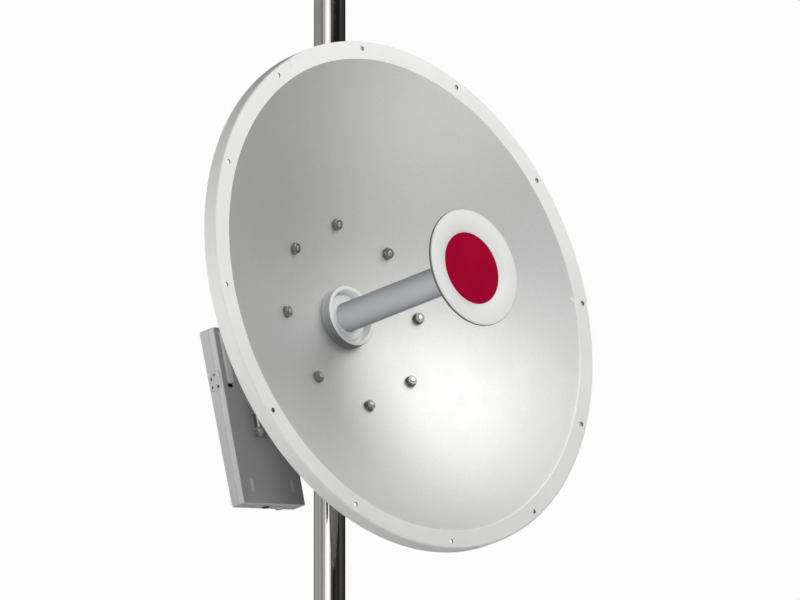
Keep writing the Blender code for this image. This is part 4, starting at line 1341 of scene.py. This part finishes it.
class ANTENNA_OT_studio(Operator):
    """Lays the pale floor and sets the soft light and the camera"""

    bl_idname = "antenna.studio"
    bl_label = "Studio"

    def execute(self, context):
        studio = context.scene.antenna_studio
        bm = bmesh.new()
        bmesh.ops.create_circle(bm, cap_ends=True, segments=96, radius=studio.floor)
        mesh = bpy.data.meshes.new("floor")
        bm.to_mesh(mesh)
        bm.free()
        mesh.materials.append(floor_paper("pale floor", studio.floor))
        floor = bpy.data.objects.new("floor", mesh)
        floor.location.z = -0.0005
        context.scene.collection.objects.link(floor)
        self.add_world(context)
        self.add_boxes(context)
        self.add_camera(context, studio)
        context.scene.view_settings.view_transform = "Standard"
        return {"FINISHED"}

    def add_world(self, context):
        """Soft lobes of light for the pieces, and white paper for the camera."""
        world = bpy.data.worlds.new("studio")
        world.use_nodes = True
        tree = world.node_tree
        tree.nodes.clear()

        def add(kind, inputs=(), which=0, **settings):
            return add_node(tree, kind, dict(inputs), settings).outputs[which]

        way = add("ShaderNodeTexCoord", which="Generated")
        total = AMBIENT
        for name, azimuth, elevation, strength in LOBES:
            towards = {0: way, 1: facing(azimuth, elevation)}
            dot = add("ShaderNodeVectorMath", towards, "Value", operation="DOT_PRODUCT")
            limits = {"From Min": math.cos(LOBE_REACH), "From Max": math.cos(LOBE_CORE), "To Max": strength}
            lobe = add(
                "ShaderNodeMapRange", {"Value": dot, **limits}, interpolation_type="SMOOTHSTEP", name=name
            )
            total = add("ShaderNodeMath", {0: total, 1: lobe}, operation="ADD")
        light = add("ShaderNodeBackground", {"Color": (1.0, 1.0, 1.0, 1.0), "Strength": total})
        paper = add("ShaderNodeBackground", {"Color": (0.98, 0.98, 0.98, 1.0), "Strength": 1.0})
        seen = add("ShaderNodeLightPath", which="Is Camera Ray")
        both = add("ShaderNodeMixShader", {0: seen, 1: light, 2: paper})
        tree.links.new(both, tree.nodes.new("ShaderNodeOutputWorld").inputs["Surface"])
        context.scene.world = world

    def add_boxes(self, context):
        for name, azimuth, elevation, width, height, strength in BOXES:
            way = facing(azimuth, elevation)
            light = bpy.data.lights.new(f"softbox {name}", "AREA")
            light.shape = "RECTANGLE"
            light.color = TINTS.get(name, (1.0, 1.0, 1.0))
            light.size, light.size_y = width, height
            light.energy = strength * math.pi * width * height
            box = bpy.data.objects.new(f"softbox {name}", light)
            box.location = BOX_AIM + way * BOX_DISTANCE
            box.rotation_euler = way.to_track_quat("Z", "Y").to_euler()
            box.visible_camera = False
            context.scene.collection.objects.link(box)

    def add_camera(self, context, studio):
        """A long lens, set so that the rim's centre falls on its place in the picture."""
        a, p = studio.azimuth, studio.pitch
        upwards = Vector((0.0, 0.0, 1.0))
        right = Vector((math.cos(a), -math.sin(a), 0.0))
        level = Vector((-math.sin(a), -math.cos(a), 0.0))
        back = math.cos(p) * level - math.sin(p) * upwards
        up = math.sin(p) * level + math.cos(p) * upwards
        data = bpy.data.cameras.new("camera")
        data.lens = studio.lens
        data.sensor_width = SENSOR
        data.clip_start, data.clip_end = 1.0, 200.0
        pixels = PICTURE_WIDTH * studio.lens / SENSOR / studio.distance
        place = DISH.to_translation() + studio.distance * back
        place -= right * (studio.centre_u / pixels) + up * (studio.centre_v / pixels)
        camera = bpy.data.objects.new("camera", data)
        camera.matrix_world = Matrix.Translation(place) @ Matrix((right, up, back)).transposed().to_4x4()
        context.scene.collection.objects.link(camera)
        context.scene.camera = camera


PIECES = (
    ANTENNA_OT_reflector, ANTENNA_OT_back_plate, ANTENNA_OT_reflector_bolts, ANTENNA_OT_collar,
    ANTENNA_OT_tube, ANTENNA_OT_cone, ANTENNA_OT_subreflector, ANTENNA_OT_centre_disc,
    ANTENNA_OT_housing, ANTENNA_OT_tilt_bracket, ANTENNA_OT_pole_bracket, ANTENNA_OT_clamps,
    ANTENNA_OT_radio_arm, ANTENNA_OT_radio_case, ANTENNA_OT_ports, ANTENNA_OT_mast,
    ANTENNA_OT_studio,
)
GROUPS = {
    "antenna_dish": ANTENNA_PG_dish,
    "antenna_feed": ANTENNA_PG_feed,
    "antenna_mount": ANTENNA_PG_mount,
    "antenna_case": ANTENNA_PG_case,
    "antenna_mast": ANTENNA_PG_mast,
    "antenna_studio": ANTENNA_PG_studio,
}


class ANTENNA_PT_pieces(Panel):
    """Lists the pieces and the sizes and colours that they are made from"""

    bl_label = "Dish antenna"
    bl_idname = "ANTENNA_PT_pieces"
    bl_space_type = "VIEW_3D"
    bl_region_type = "UI"
    bl_category = "Antenna"

    def draw(self, context):
        for piece in PIECES:
            self.layout.operator(piece.bl_idname)
        for name, group in GROUPS.items():
            column = self.layout.column(align=True)
            for key in group.__annotations__:
                column.prop(getattr(context.scene, name), key)


CLASSES = (*GROUPS.values(), *PIECES, ANTENNA_PT_pieces)


def register():
    for item in CLASSES:
        bpy.utils.register_class(item)
    for name, group in GROUPS.items():
        setattr(bpy.types.Scene, name, PointerProperty(type=group))


def unregister():
    for name in GROUPS:
        delattr(bpy.types.Scene, name)
    for item in reversed(CLASSES):
        bpy.utils.unregister_class(item)


def main():
    register()
    for piece in PIECES:
        family, name = piece.bl_idname.split(".")
        getattr(getattr(bpy.ops, family), name)()


if __name__ == "__main__":
    main()
